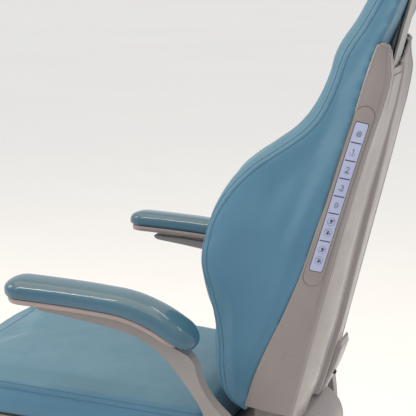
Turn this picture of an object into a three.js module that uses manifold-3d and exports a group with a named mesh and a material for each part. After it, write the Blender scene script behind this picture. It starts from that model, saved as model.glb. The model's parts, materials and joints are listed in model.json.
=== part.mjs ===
// Dental chair: floor base with swivel, parallel-arm lift, tilting seat, reclining
// backrest, sliding and tilting headrest, two arms that swing up.
// Millimetres, +Z up. X runs across the chair, the sitter's left is +X.
// The feet point to -Y. The origin is on the floor, under the middle of the base.
import * as THREE from 'three';
import { mergeVertices } from 'three/addons/utils/BufferGeometryUtils.js';
import Module from 'manifold-3d';

const wasm = await Module();
wasm.setup();

// ---------------------------------------------------------------- driving dimensions
const GAP = 0.4;                  // clearance between touching pieces
const FIT = 0.5;                  // clearance of a pin in its hole
const FACETS = 20;                // sides of a round piece

const BASE = { halfWidth: 275, front: -400, rear: 330, corner: 90, thick: 22, trim: 9 };
const SWIVEL = { y: -20, radius: 150, ringWidth: 26, ringHeight: 8, plateThick: 12 };
const TURNTABLE_TOP = BASE.thick + SWIVEL.ringHeight + SWIVEL.plateThick + 2 * GAP;
const BRAKE = { pivot: [-120, 66], stud: 6 };
const SHROUD = { halfWidth: 139, front: -275, rear: 268, top: 190, wall: 4, corner: 45 };

// lift: lower pivots on the pedestal, upper pivots on the carrier
const LIFT = { y: -200, z: 110, length: 420, restDeg: 7, linkRise: 75, pin: 9 };
const LIFT_DIR = dirYZ(LIFT.restDeg);
const LIFT_TOP = [LIFT.y + LIFT.length * LIFT_DIR[0], LIFT.z + LIFT.length * LIFT_DIR[1]];
const CYLINDER = { foot: [-160, 55], along: 205, above: 18, barrel: 20, rod: 10, pin: 6 };

// hips: one axis carries the backrest and the seat
const HIP = [208, 333];
const TUBE_RADIUS = 18;
const HOUSING = { radius: 58, wall: 4, half: 116 };
const LEVER = { radius: 60, restDeg: -58, thick: 9, slack: 5.6, eyeShift: [0, -4.6] };
const RECLINE_FOOT = [-120, 300];

const CARRIER = { inner: 144, outer: 154, low: 246, high: 312, front: -160 };
const CHEEK = { inner: 100, outer: 112 };
const LIFT_CHEEK = { inner: 84, outer: 96, depth: 26 };

// where the sitter's back meets the seat: seat and backrest are laid out from here
const SITTER = [268, 428];
const BACK_LEAN = 14.5;           // degrees behind upright
const SEAT_RISE = 3.4;            // degrees that the seat climbs towards the knees
const SEAT = { halfWidth: 233, rear: 146, knee: 650, legLength: 400, legDrop: 44 };
const ARM = { x: 280, half: 34, thick: 29, cant: 5.6, pivot: [172, 283], hub: 48 };
const GLIDE = { half: 30, front: -50, rear: -43, low: 300, high: 776 };

// ---------------------------------------------------------------- materials
const finish = (color, roughness, metalness = 0) =>
  new THREE.MeshStandardMaterial({ color, roughness, metalness });
const STEEL = finish('#8d9094', 0.45, 0.85);
const CHROME = finish('#d8dadd', 0.12, 1);
const PAINTED = finish('#8e8a88', 0.5, 0.2);
const SHELL = finish('#9c938c', 0.45);
const UPHOLSTERY = finish('#557f94', 0.5);
const GLOSS = finish('#4f7f9c', 0.12);
const RUBBER = finish('#2b2c2e', 0.85);
const MEMBRANE = finish('#c3c7e0', 0.4);
const PLYWOOD = finish('#a98b62', 0.7);
const CLEAR = finish('#dfe8ea', 0.1);

// ---------------------------------------------------------------- geometry helpers
function dirYZ(degrees) {
  const a = THREE.MathUtils.degToRad(degrees);
  return [Math.cos(a), Math.sin(a)];
}

function polar([y, z], radius, degrees) {
  const [c, s] = dirYZ(degrees);
  return [y + radius * c, z + radius * s];
}

// corners are [a, b, radius]: each corner with a radius becomes an arc of equal steps
function rounded(corners, steps = 4) {
  const points = [];
  corners.forEach(([a, b, radius = 0], i) => {
    const here = new THREE.Vector2(a, b);
    if (radius === 0) {
      points.push([a, b]);
      return;
    }
    const before = new THREE.Vector2(...corners.at(i - 1).slice(0, 2)).sub(here).normalize();
    const after = new THREE.Vector2(...corners[(i + 1) % corners.length].slice(0, 2)).sub(here).normalize();
    const half = Math.acos(THREE.MathUtils.clamp(before.dot(after), -1, 1)) / 2;
    const reach = radius / Math.tan(half);
    const centre = before.clone().add(after).normalize().multiplyScalar(radius / Math.sin(half)).add(here);
    const start = here.clone().addScaledVector(before, reach).sub(centre);
    const end = here.clone().addScaledVector(after, reach).sub(centre);
    const from = start.angle();
    let turn = end.angle() - from;
    if (turn > Math.PI) turn -= 2 * Math.PI;
    if (turn < -Math.PI) turn += 2 * Math.PI;
    for (let k = 0; k <= steps; k += 1) {
      const angle = from + (turn * k) / steps;
      points.push([centre.x + radius * Math.cos(angle), centre.y + radius * Math.sin(angle)]);
    }
  });
  return points.filter(([a, b], i) => {
    const [c, d] = points[(i + 1) % points.length];
    return Math.hypot(a - c, b - d) > 0.02;
  });
}

const ring = ([a, b], radius, sides = FACETS) =>
  Array.from({ length: sides }, (_, i) => {
    const angle = (2 * Math.PI * i) / sides;
    return [a + radius * Math.cos(angle), b + radius * Math.sin(angle)];
  });

function capsule([a0, b0], [a1, b1], radius, steps = 8) {
  const turn = Math.atan2(b1 - b0, a1 - a0);
  const points = [];
  for (let k = 0; k <= steps; k += 1) {
    const angle = turn + Math.PI / 2 + (Math.PI * k) / steps;
    points.push([a0 + radius * Math.cos(angle), b0 + radius * Math.sin(angle)]);
  }
  for (let k = 0; k <= steps; k += 1) {
    const angle = turn - Math.PI / 2 + (Math.PI * k) / steps;
    points.push([a1 + radius * Math.cos(angle), b1 + radius * Math.sin(angle)]);
  }
  return points;
}

function extrude(outline, holes, depth) {
  const shape = new THREE.Shape(outline.map(([a, b]) => new THREE.Vector2(a, b)));
  for (const hole of holes) {
    shape.holes.push(new THREE.Path(hole.map(([a, b]) => new THREE.Vector2(a, b))));
  }
  return new THREE.ExtrudeGeometry(shape, { depth, bevelEnabled: false });
}

// outline in X-Y, standing between two heights
function upright(outline, zMin, zMax, holes = []) {
  return extrude(outline, holes, zMax - zMin).translate(0, 0, zMin);
}

// outline in Y-Z, lying between two X positions
function sideways(outline, xMin, xMax, holes = []) {
  const turn = new THREE.Matrix4().makeBasis(
    new THREE.Vector3(0, 1, 0), new THREE.Vector3(0, 0, 1), new THREE.Vector3(1, 0, 0));
  return extrude(outline, holes, xMax - xMin).applyMatrix4(turn).translate(xMin, 0, 0);
}

// the same plate on both sides of the chair
const bothSides = (outline, inner, outer, holes = []) =>
  [sideways(outline, inner, outer, holes), sideways(outline, -outer, -inner, holes)];

const pin = ([y, z], radius, xMin, xMax, sides = FACETS) => sideways(ring([y, z], radius, sides), xMin, xMax);

const box = (x0, x1, y0, y1, z0, z1) =>
  new THREE.BoxGeometry(x1 - x0, y1 - y0, z1 - z0).translate((x0 + x1) / 2, (y0 + y1) / 2, (z0 + z1) / 2);

// round bar between two points of the Y-Z plane at one X
function bar([y0, z0], [y1, z1], radius, x = 0, sides = 16) {
  const from = new THREE.Vector3(x, y0, z0);
  const to = new THREE.Vector3(x, y1, z1);
  const axis = to.clone().sub(from);
  const upAxis = new THREE.Vector3(0, 1, 0);
  const turn = new THREE.Quaternion().setFromUnitVectors(upAxis, axis.clone().normalize());
  const middle = from.add(to).multiplyScalar(0.5);
  return new THREE.CylinderGeometry(radius, radius, axis.length(), sides)
    .applyQuaternion(turn).translate(middle.x, middle.y, middle.z);
}

function toManifold(geometry) {
  const bare = geometry.clone();
  bare.deleteAttribute('normal');
  bare.deleteAttribute('uv');
  const merged = mergeVertices(bare, 1e-3);
  return new wasm.Manifold(new wasm.Mesh({
    numProp: 3,
    vertProperties: new Float32Array(merged.attributes.position.array),
    triVerts: new Uint32Array(merged.index.array),
  }));
}

function toGeometry(manifold) {
  const mesh = manifold.getMesh();
  const geometry = new THREE.BufferGeometry();
  geometry.setAttribute('position', new THREE.BufferAttribute(new Float32Array(mesh.vertProperties), 3));
  geometry.setIndex(new THREE.BufferAttribute(new Uint32Array(mesh.triVerts), 1));
  return geometry;
}

const join = (...pieces) => toGeometry(pieces.map(toManifold).reduce((all, piece) => all.add(piece)));
const cut = (body, ...tools) =>
  toGeometry(tools.map(toManifold).reduce((left, tool) => left.subtract(tool), toManifold(body)));

// skin over stations { outline, place }: outlines share one count, place maps (a, b) to a point
function loft(stations) {
  const count = stations[0].outline.length;
  const positions = [];
  const faces = [];
  for (const { outline, place } of stations) {
    outline.forEach(([a, b]) => positions.push(...place(a, b)));
  }
  for (let i = 0; i + 1 < stations.length; i += 1) {
    for (let j = 0; j < count; j += 1) {
      const next = (j + 1) % count;
      const low = i * count;
      const high = low + count;
      faces.push(low + j, low + next, high + next, low + j, high + next, high + j);
    }
  }
  const cap = (index, flip) => {
    const flat = stations[index].outline.map(([a, b]) => new THREE.Vector2(a, b));
    for (const [p, q, r] of THREE.ShapeUtils.triangulateShape(flat, [])) {
      const face = flip ? [r, q, p] : [p, q, r];
      faces.push(...face.map((corner) => corner + index * count));
    }
  };
  const firstOutline = stations[0].outline.map(([a, b]) => new THREE.Vector2(a, b));
  const clockwise = THREE.ShapeUtils.isClockWise(firstOutline);
  cap(0, !clockwise);
  cap(stations.length - 1, clockwise);
  const corner = (i) => new THREE.Vector3().fromArray(positions, 3 * i);
  let volume = 0;
  for (let i = 0; i < faces.length; i += 3) {
    volume += corner(faces[i]).dot(corner(faces[i + 1]).cross(corner(faces[i + 2])));
  }
  const geometry = new THREE.BufferGeometry();
  geometry.setAttribute('position', new THREE.Float32BufferAttribute(positions, 3));
  geometry.setIndex(volume > 0 ? faces : faces.reverse());
  return geometry;
}

// smooth curve value(at) through points [at, value], by Catmull-Rom slopes
function curve(points) {
  const slope = (i) => {
    const a = points[Math.max(i - 1, 0)];
    const b = points[Math.min(i + 1, points.length - 1)];
    return (b[1] - a[1]) / (b[0] - a[0]);
  };
  return (at) => {
    let i = 0;
    while (i < points.length - 2 && at > points[i + 1][0]) i += 1;
    const [x0, y0] = points[i];
    const [x1, y1] = points[i + 1];
    const span = x1 - x0;
    const t = THREE.MathUtils.clamp((at - x0) / span, 0, 1);
    const t2 = t * t;
    const t3 = t2 * t;
    return (2 * t3 - 3 * t2 + 1) * y0 + (t3 - 2 * t2 + t) * span * slope(i)
      + (3 * t2 - 2 * t3) * y1 + (t3 - t2) * span * slope(i + 1);
  };
}

// straight-line value(at) through points [at, value]
function polyline(points) {
  return (at) => {
    let i = 0;
    while (i < points.length - 2 && at > points[i + 1][0]) i += 1;
    const [x0, y0] = points[i];
    const [x1, y1] = points[i + 1];
    return y0 + ((y1 - y0) * (at - x0)) / (x1 - x0);
  };
}

const chair = new THREE.Group();

function add(name, geometry, material, parent = chair) {
  const mesh = new THREE.Mesh(geometry, material);
  mesh.name = name;
  parent.add(mesh);
}

// ---------------------------------------------------------------- floor base and swivel
function baseOutline(grow) {
  const { halfWidth: w, front, rear, corner } = BASE;
  const r = corner + grow;
  return rounded([
    [w + grow, front - grow, r], [w + grow, rear + grow, r],
    [-w - grow, rear + grow, r], [-w - grow, front - grow, r]], 6);
}

function buildBase() {
  const kingPin = 22;
  const centre = [0, SWIVEL.y];
  const low = BASE.thick + GAP;
  const plate = upright(baseOutline(0), 0, BASE.thick);
  add('base_plate', join(plate, upright(ring(centre, kingPin), 5, TURNTABLE_TOP + 6)), PAINTED);
  add('base_rubber_trim', upright(baseOutline(BASE.trim), 1, BASE.thick - 1, [baseOutline(GAP)]), RUBBER);
  const outer = ring(centre, SWIVEL.radius, 36);
  const inner = ring(centre, SWIVEL.radius - SWIVEL.ringWidth, 36);
  add('swivel_bearing_ring', upright(outer, low, low + SWIVEL.ringHeight, [inner]), STEEL);

  const plateLow = low + SWIVEL.ringHeight + GAP;
  const turntable = rounded([[150, -285, 40], [150, 285, 40], [-150, 285, 40], [-150, -285, 40]]);
  const { pivot, stud } = BRAKE;
  const ear = rounded([
    [pivot[0] - 18, plateLow + 2], [pivot[0] + 18, plateLow + 2],
    [pivot[0] + 12, pivot[1] + 12, 10], [pivot[0] - 12, pivot[1] + 12, 10]]);
  add('turntable_plate', join(
    upright(turntable, plateLow, TURNTABLE_TOP, [ring(centre, kingPin + FIT)]),
    sideways(ear, 142, 150), pin(pivot, stud, 145, 158, 12)), PAINTED);

  const arm = capsule(pivot, [pivot[0] - 95, pivot[1] + 8], 9);
  const [padY, padZ] = [pivot[0] - 95, pivot[1] + 8];
  const pad = rounded([
    [padY - 20, padZ + 3, 3], [padY + 16, padZ, 3],
    [padY + 16, padZ + 8, 3], [padY - 20, padZ + 11, 3]], 2);
  add('swivel_brake_pedal', cut(join(sideways(arm, 150.6, 156.6), sideways(ring(pivot, 12), 150.6, 156.6),
    sideways(pad, 151, 196)), pin(pivot, stud + FIT, 140, 170, 12)), RUBBER);
}

// ---------------------------------------------------------------- pedestal, shroud, pump
function buildPedestal() {
  const low = TURNTABLE_TOP + GAP;
  const upperPin = [LIFT.y, LIFT.z + LIFT.linkRise];
  const cheek = rounded([
    [LIFT.y - 50, low], [LIFT.y + 75, low],
    [LIFT.y + 22, upperPin[1] + 22, 20], [LIFT.y - 22, upperPin[1] + 22, 20]]);
  const holes = [ring([LIFT.y, LIFT.z], LIFT.pin + FIT), ring(upperPin, LIFT.pin + FIT)];
  const lug = rounded([
    [CYLINDER.foot[0] - 18, low], [CYLINDER.foot[0] + 18, low],
    [CYLINDER.foot[0] + 12, CYLINDER.foot[1] + 12, 11], [CYLINDER.foot[0] - 12, CYLINDER.foot[1] + 12, 11]]);
  const strip = sideways([
    [LIFT.y - 50, low], [LIFT.y + 75, low], [LIFT.y + 75, low + 8], [LIFT.y - 50, low + 8]], 24, CHEEK.outer);
  const bracket = join(
    box(-CHEEK.outer, CHEEK.outer, LIFT.y - 50, LIFT.y + 12, low, low + 8),
    strip, strip.clone().translate(-CHEEK.outer - 24, 0, 0),
    ...bothSides(cheek, CHEEK.inner, CHEEK.outer, holes),
    ...bothSides(lug, 24, 32));
  add('pedestal_bracket', cut(bracket, pin(CYLINDER.foot, CYLINDER.pin + FIT, -37, 37, 12)), PAINTED);
  add('pedestal_arm_pin', pin([LIFT.y, LIFT.z], LIFT.pin, -118, 118), CHROME);
  add('pedestal_link_pin', pin(upperPin, LIFT.pin, -118, 118), CHROME);
  add('cylinder_foot_pin', pin(CYLINDER.foot, CYLINDER.pin, -36, 36, 12), CHROME);

  const { halfWidth: w, front, rear, wall, corner, top } = SHROUD;
  const walls = (inset) => rounded([
    [w - inset, front + inset, corner - inset], [w - inset, rear - inset, corner - inset],
    [-w + inset, rear - inset, corner - inset], [-w + inset, front + inset, corner - inset]], 5);
  add('base_shroud', upright(walls(0), low, top, [walls(wall)]), SHELL);

  const pumpLow = low + 8 + GAP;
  add('pump_motor', bar([-60, low + 34], [60, low + 34], 24, -52), PAINTED);
  add('pump_reservoir', upright(rounded([
    [-30, 70, 8], [-30, 180, 8], [-78, 180, 8], [-78, 70, 8]]), low, low + 62), SHELL);
  add('control_box', upright(rounded([
    [78, -80, 6], [78, 60, 6], [34, 60, 6], [34, -80, 6]]), pumpLow, pumpLow + 44), PAINTED);
}

// ---------------------------------------------------------------- lift arm, links, cylinder
function buildLift() {
  const at = (along, above) => [
    LIFT.y + along * LIFT_DIR[0] - above * LIFT_DIR[1],
    LIFT.z + along * LIFT_DIR[1] + above * LIFT_DIR[0]];
  const rodPin = at(CYLINDER.along, CYLINDER.above);
  const { inner, outer, depth } = LIFT_CHEEK;
  const holes = [at(0, 0), LIFT_TOP].map((place) => ring(place, LIFT.pin + FIT));
  add('lift_arm', join(
    ...bothSides(capsule(at(0, 0), LIFT_TOP, depth), inner, outer, holes),
    pin(rodPin, CYLINDER.pin, -inner - 2, inner + 2, 12),
    pin(at(62, 9), 11, -inner - 2, inner + 2),
    pin(at(330, -8), 11, -inner - 2, inner + 2)), PAINTED);

  const linkLow = [LIFT.y, LIFT.z + LIFT.linkRise];
  const linkHigh = [LIFT_TOP[0], LIFT_TOP[1] + LIFT.linkRise];
  const eyes = [linkLow, linkHigh].map((place) => ring(place, LIFT.pin + FIT));
  const linkTie = [linkLow[0] + 330 * LIFT_DIR[0], linkLow[1] + 330 * LIFT_DIR[1]];
  add('parallel_link', join(
    ...bothSides(capsule(linkLow, linkHigh, 14), 60, 72, eyes), pin(linkTie, 9, -62, 62)), PAINTED);

  const foot = CYLINDER.foot;
  const span = Math.hypot(rodPin[0] - foot[0], rodPin[1] - foot[1]);
  const along = (distance) => [
    foot[0] + ((rodPin[0] - foot[0]) * distance) / span,
    foot[1] + ((rodPin[1] - foot[1]) * distance) / span];
  const footEye = sideways(ring(foot, 11), -18, 18, [ring(foot, CYLINDER.pin + FIT, 12)]);
  const bore = bar(along(40), along(145), CYLINDER.rod + FIT);
  const barrel = cut(bar(along(20), along(140), CYLINDER.barrel), bore);
  const lugs = sideways(capsule(foot, along(24), 11), -18, 18);
  const footBore = pin(foot, CYLINDER.pin + FIT, -40, 40, 12);
  add('lift_cylinder_barrel', cut(join(barrel, footEye, lugs), footBore), STEEL);
  const rodEye = sideways(ring(rodPin, 20), -12, 12);
  add('lift_cylinder_rod', cut(join(bar(along(52), along(span - 14), CYLINDER.rod), rodEye),
    pin(rodPin, CYLINDER.pin + 7, -30, 30, 16)), CHROME);
}

// ---------------------------------------------------------------- carrier under the seat
function buildCarrier() {
  const { inner, outer, low, high, front } = CARRIER;
  const hipY = HIP[0];
  const rail = rounded([
    [front, low, 12], [hipY + 52, low, 12], [hipY + 52, low + 30, 12],
    [hipY + 20, high, 12], [front, high, 12]]);
  const riser = capsule([hipY - 8, low + 40], HIP, 28);
  const cheek = rounded([
    [LIFT_TOP[0] - 24, LIFT_TOP[1] - 26, 20], [LIFT_TOP[0] + 24, LIFT_TOP[1] - 26, 20],
    [LIFT_TOP[0] + 42, low + 9], [30, low + 9], [30, low + 1]]);
  const upperPin = [LIFT_TOP[0], LIFT_TOP[1] + LIFT.linkRise];
  const footLug = rounded([
    [RECLINE_FOOT[0] - 24, low + 10], [RECLINE_FOOT[0] + 24, low + 10],
    [RECLINE_FOOT[0] + 13, RECLINE_FOOT[1] + 12, 11], [RECLINE_FOOT[0] - 13, RECLINE_FOOT[1] + 12, 11]]);
  const beam = (y0, y1) => box(-outer + 1, outer - 1, y0, y1, low, low + 10);
  const frame = join(
    ...bothSides(rail, inner, outer),
    ...bothSides(riser, inner, outer),
    ...bothSides(cheek, CHEEK.inner, CHEEK.outer),
    ...bothSides(footLug, 26, 34),
    beam(20, 80), beam(234, 258), beam(front + 5, front + 65));
  const bores = [
    [HIP, TUBE_RADIUS + FIT], [ARM.pivot, 9 + GAP], [LIFT_TOP, LIFT.pin + FIT],
    [upperPin, LIFT.pin + FIT], [RECLINE_FOOT, 7 + FIT]];
  add('carrier_frame', cut(frame, ...bores.map(([place, radius]) => pin(place, radius, -170, 170))), PAINTED);
  add('carrier_arm_pin', pin(LIFT_TOP, LIFT.pin, -118, 118), CHROME);
  add('carrier_link_pin', pin(upperPin, LIFT.pin, -118, 118), CHROME);
  add('recline_foot_pin', pin(RECLINE_FOOT, 7, -38, 38, 12), CHROME);

  // cover over the hip tube, open below for the recline lever, on two feet
  const arc = [];
  const shellFrom = -35;
  const shellTo = 150;
  for (let a = shellFrom; a <= shellTo; a += 18.5) arc.push(polar(HIP, HOUSING.radius, a));
  for (let a = shellTo; a >= shellFrom; a -= 18.5) arc.push(polar(HIP, HOUSING.radius - HOUSING.wall, a));
  const cheekArc = [];
  for (let a = shellFrom; a <= shellTo; a += 18.5) cheekArc.push(polar(HIP, HOUSING.radius - 1, a));
  for (let a = shellTo; a >= shellFrom; a -= 18.5) cheekArc.push(polar(HIP, TUBE_RADIUS + FIT, a));
  const foot = rounded([
    [HIP[0] + 38, low + 10 + GAP], [HIP[0] + 48, low + 10 + GAP],
    [HIP[0] + 48, HIP[1] - 20, 4], [HIP[0] + 38, HIP[1] - 20]], 2);
  const { half } = HOUSING;
  add('hip_housing', join(sideways(arc, -half, half),
    ...bothSides(cheekArc, half - 4, half), ...bothSides(foot, 60, 84)), SHELL);

  const lever = polar(HIP, LEVER.radius, LEVER.restDeg);
  const tip = [lever[0] + LEVER.eyeShift[0], lever[1] + LEVER.eyeShift[1]];
  const reach = Math.hypot(tip[0] - RECLINE_FOOT[0], tip[1] - RECLINE_FOOT[1]);
  const along = (distance, above = 0) => {
    const c = (tip[0] - RECLINE_FOOT[0]) / reach;
    const s = (tip[1] - RECLINE_FOOT[1]) / reach;
    return [RECLINE_FOOT[0] + distance * c - above * s, RECLINE_FOOT[1] + distance * s + above * c];
  };
  const barrel = cut(bar(along(12), along(222), 20), bar(along(45), along(227), 9 + FIT));
  const footEye = sideways(ring(RECLINE_FOOT, 15), -22, 22);
  add('recline_actuator_barrel', cut(join(barrel, footEye), pin(RECLINE_FOOT, 7 + FIT, -40, 40, 12)), STEEL);
  const fork = capsule(along(reach), along(reach - 40), 18);
  const yoke = [
    along(reach - 28, 15), along(reach - 28, -15), along(reach - 58, -15), along(reach - 58, 15)];
  add('recline_actuator_rod', cut(
    join(bar(along(125), along(reach - 45), 9), ...bothSides(fork, 11.5, 19), sideways(yoke, -19, 19)),
    pin(tip, 7 + LEVER.slack, -30, 30, 16),
    sideways(capsule(along(reach + 30), along(reach - 14), 20), -11.5, 11.5)), CHROME);

  const bufferLow = low + 10 + GAP;
  const bufferHigh = seatPoint(SITTER[0] - (front + 20), -109.5)[1];
  for (const [name, sign] of [['left', 1], ['right', -1]]) {
    const buffer = ring([125 * sign, front + 20], 11, 12);
    add(`seat_rest_buffer_${name}`, upright(buffer, bufferLow, bufferHigh), RUBBER);
    const [s0, s1] = [(inner + 1) * sign, (ARM.x + 20) * sign].sort((a, b) => a - b);
    add(`arm_stub_${name}`, pin(ARM.pivot, 9, s0, s1, 16), CHROME);
  }
}

// ---------------------------------------------------------------- seat (turned about the hips)
// forward distance from the sitter's point and height above it, along the seat
function seatPoint(forward, height) {
  const [c, s] = dirYZ(SEAT_RISE);
  return [SITTER[0] - forward * c + height * s, SITTER[1] + forward * s + height * c];
}

// outline following the seat and the leg section, between two depths below the seam line
function seatBand(top, bottom, rear, legLength, kneeRound) {
  const knee = (depth) => {
    const half = THREE.MathUtils.degToRad(SEAT.legDrop / 2);
    return [SEAT.knee + depth * Math.tan(half), depth];
  };
  const toe = (depth) => {
    const [c, s] = dirYZ(SEAT.legDrop);
    return [knee(top)[0] + legLength * c + (depth - top) * s, top - legLength * s + (depth - top) * c];
  };
  const withRound = (point, radius) => [...seatPoint(...point), radius];
  const third = (top - bottom) / 3;
  return rounded([
    withRound([rear, top], Math.min(22, third)), withRound(knee(top), kneeRound),
    withRound(toe(top), Math.min(26, third)), withRound(toe(bottom), Math.min(18, third)),
    withRound(knee(bottom), kneeRound), withRound([rear, bottom], Math.min(10, third))], 4);
}

function buildSeat() {
  add('seat_cushion', loft([-1, -0.94, 0.94, 1].map((share) => {
    const inset = Math.abs(share) === 1 ? 14 : 0;
    const outline = seatBand(4 - inset, -66 + inset / 2, SEAT.rear + inset / 3, SEAT.legLength - inset, 30);
    return { outline, place: (y, z) => [share * SEAT.halfWidth, y, z] };
  })), UPHOLSTERY);
  add('seat_pan', sideways(seatBand(-67, -79, 118, SEAT.legLength - 30, 20), -212, 212), SHELL);

  const railOutline = seatBand(-80, -108, 80, 240, 20);
  const lug = capsule(seatPoint(88, -98), HIP, 24);
  const crossMember = (forward) => {
    const [y, z] = seatPoint(forward, -88);
    return box(-140, 140, y - 20, y + 20, z - 8, z + 7);
  };
  const hole = pin(HIP, TUBE_RADIUS + FIT, -142, 142);
  const rails = bothSides(railOutline, 119, 141);
  add('seat_frame', cut(
    join(...rails, ...bothSides(lug, 119, 131), crossMember(330), crossMember(600)), hole), PAINTED);

  const dropped = THREE.MathUtils.degToRad(SEAT.legDrop);
  const legPoint = (distance, above) => seatPoint(
    SEAT.knee + 2 + distance * Math.cos(dropped) + above * Math.sin(dropped),
    4 - distance * Math.sin(dropped) + above * Math.cos(dropped));
  const sheet = [
    legPoint(190, 1.2), legPoint(401, 1.2), legPoint(401, -50), legPoint(403.5, -50),
    legPoint(403.5, 3.7), legPoint(190, 3.7)];
  add('toe_cover', sideways(sheet.reverse(), -215, 215), CLEAR);

  for (const [name, sign] of [['left', 1], ['right', -1]]) {
    const [x0, x1] = [216 * sign, 221 * sign].sort((a, b) => a - b);
    const skirt = rounded([
      [...seatPoint(100, -68), 6], [...seatPoint(630, -68), 20], [...seatPoint(590, -150), 40],
      [...seatPoint(150, -150), 40]], 5);
    add(`seat_side_skirt_${name}`, sideways(skirt, x0, x1), SHELL);
  }
}

// ---------------------------------------------------------------- backrest (own upright frame)
// X across, Y rearwards, Z up the back, origin at the sitter's point
const back = new THREE.Group();
back.position.set(0, SITTER[0], SITTER[1]);
back.rotation.x = -THREE.MathUtils.degToRad(BACK_LEAN);
chair.add(back);

// side wing: half width and depth of its front edge and of the bead behind it
const wingHalf = polyline([
  [-44, 198], [0, 195], [150, 187], [250, 182], [300, 179], [350, 174], [400, 166], [450, 154], [500, 140],
  [550, 127], [600, 115], [640, 108], [712, 95]]);
const beadHalf = polyline([
  [-44, 178], [0, 175], [150, 168], [250, 164], [300, 161], [350, 157], [400, 150], [450, 139], [500, 125],
  [550, 112], [600, 101], [640, 95]]);
const wingFront = polyline([
  [-44, -99], [0, -99], [50, -97], [100, -89.5], [150, -80.5], [200, -73.5], [225, -70.5], [300, -66.5],
  [350, -64.5], [450, -63.5], [500, -64.5], [550, -65.5], [600, -63], [640, -56], [712, -50]]);
const beadRear = polyline([
  [-44, -27], [0, -28], [150, -30], [450, -31], [500, -30], [550, -33], [580, -43], [614, -50]]);
// rear face beside the middle channel, and the depth of that channel
const CHANNEL = 45;
const panelRear = polyline([[-44, -22], [0, -19], [110, -17], [200, -20], [300, -23], [400, -26], [450, -29],
  [500, -31], [550, -35], [580, -43], [614, -49]]);
const channelDepth = polyline([[-44, 9], [300, 9], [400, 7], [500, 4], [550, 3], [614, 1]]);
const padFront = curve([
  [-28, -118], [0, -158], [95, -197], [150, -227], [187, -245], [225, -251], [267, -250], [306, -241], [339, -227],
  [370, -207], [405, -177], [435, -153], [465, -138], [510, -130], [570, -127], [628, -110], [712, -92]]);

const SHELL_LEVELS = [-44, 0, 50, 100, 150, 200, 250, 300, 350, 400, 450, 500, 550, 580, 604];
const across = (height) => (x, y) => [x, y, height];

function wingShellOutline(s) {
  const front = wingFront(s) + GAP;
  const [w, bead, rear, panel] = [wingHalf(s), beadHalf(s), beadRear(s), panelRear(s)];
  const floor = panel - channelDepth(s);
  const wall = 3;
  const outer = [
    [w, front], [bead + 1, rear - 4], [bead - 2, rear], [bead - 7, rear + 1], [bead - 11, rear - 2],
    [bead - 15, rear + 2], [CHANNEL + 30, panel - 1], [CHANNEL, panel], [CHANNEL - 6, floor]];
  const inner = [
    [CHANNEL - 4, floor - wall], [CHANNEL + 3, panel - wall], [CHANNEL + 30, panel - 1 - wall],
    [bead - 17, Math.min(rear, panel) - wall - 1], [bead - 5, rear - wall - 3], [w - 4, front]];
  const mirror = (points) => points.map(([x, y]) => [-x, y]).reverse();
  return [...outer, ...mirror(outer), ...mirror(inner), ...inner];
}

function buildBackShell() {
  const tub = loft(SHELL_LEVELS.map((s) => ({ outline: wingShellOutline(s), place: across(s) })));
  const top = SHELL_LEVELS.at(-1) + 2;
  const half = [
    [GLIDE.half + 2, 557], [GLIDE.half + 9, 562], [57, 571], [73, 583], [90, 592], [102, 598], [111, top]];
  const mirror = (points) => points.map(([x, z]) => [-x, z]).reverse();
  const valley = [...half, ...mirror(half)];
  const corner = [[240, -60], [240, -9], [172, -10], [96, -45.5], [96, -60]];
  const through = (outline) => extrude(outline, [], 140).rotateX(Math.PI / 2);
  const cutters = [valley, corner, mirror(corner)].map(through);
  add('back_shell', cut(tub, ...cutters), SHELL, back);

  // trim strip lying in the middle channel
  add('channel_trim', loft([-38, 0, 110, 200, 300, 400, 500, 546].map((s) => {
    const floor = panelRear(s) - channelDepth(s) + GAP;
    const w = CHANNEL - 8.5;
    return { outline: [[w, floor], [w - 2, floor + 2], [-w + 2, floor + 2], [-w, floor]], place: across(s) };
  })), SHELL, back);

  // low cover over the cable outlet, on the lower right of the rear face
  const rise = polyline([[-40, 3], [-6, 6], [19, 8], [42, 9], [52, 5]]);
  const far = polyline([[-40, -98], [-24, -130], [0, -138], [52, -138]]);
  add('outlet_cover', loft([-40, -24, 0, 19, 42, 52].map((s) => {
    const base = panelRear(s) + GAP + 0.4;
    const high = base + rise(s);
    const outline = [
      [-62, base], [-66, high - 2], [-72, high], [far(s) + 10, high], [far(s) + 4, high - 2], [far(s), base]];
    return { outline, place: across(s) };
  })), SHELL, back);
}

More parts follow.
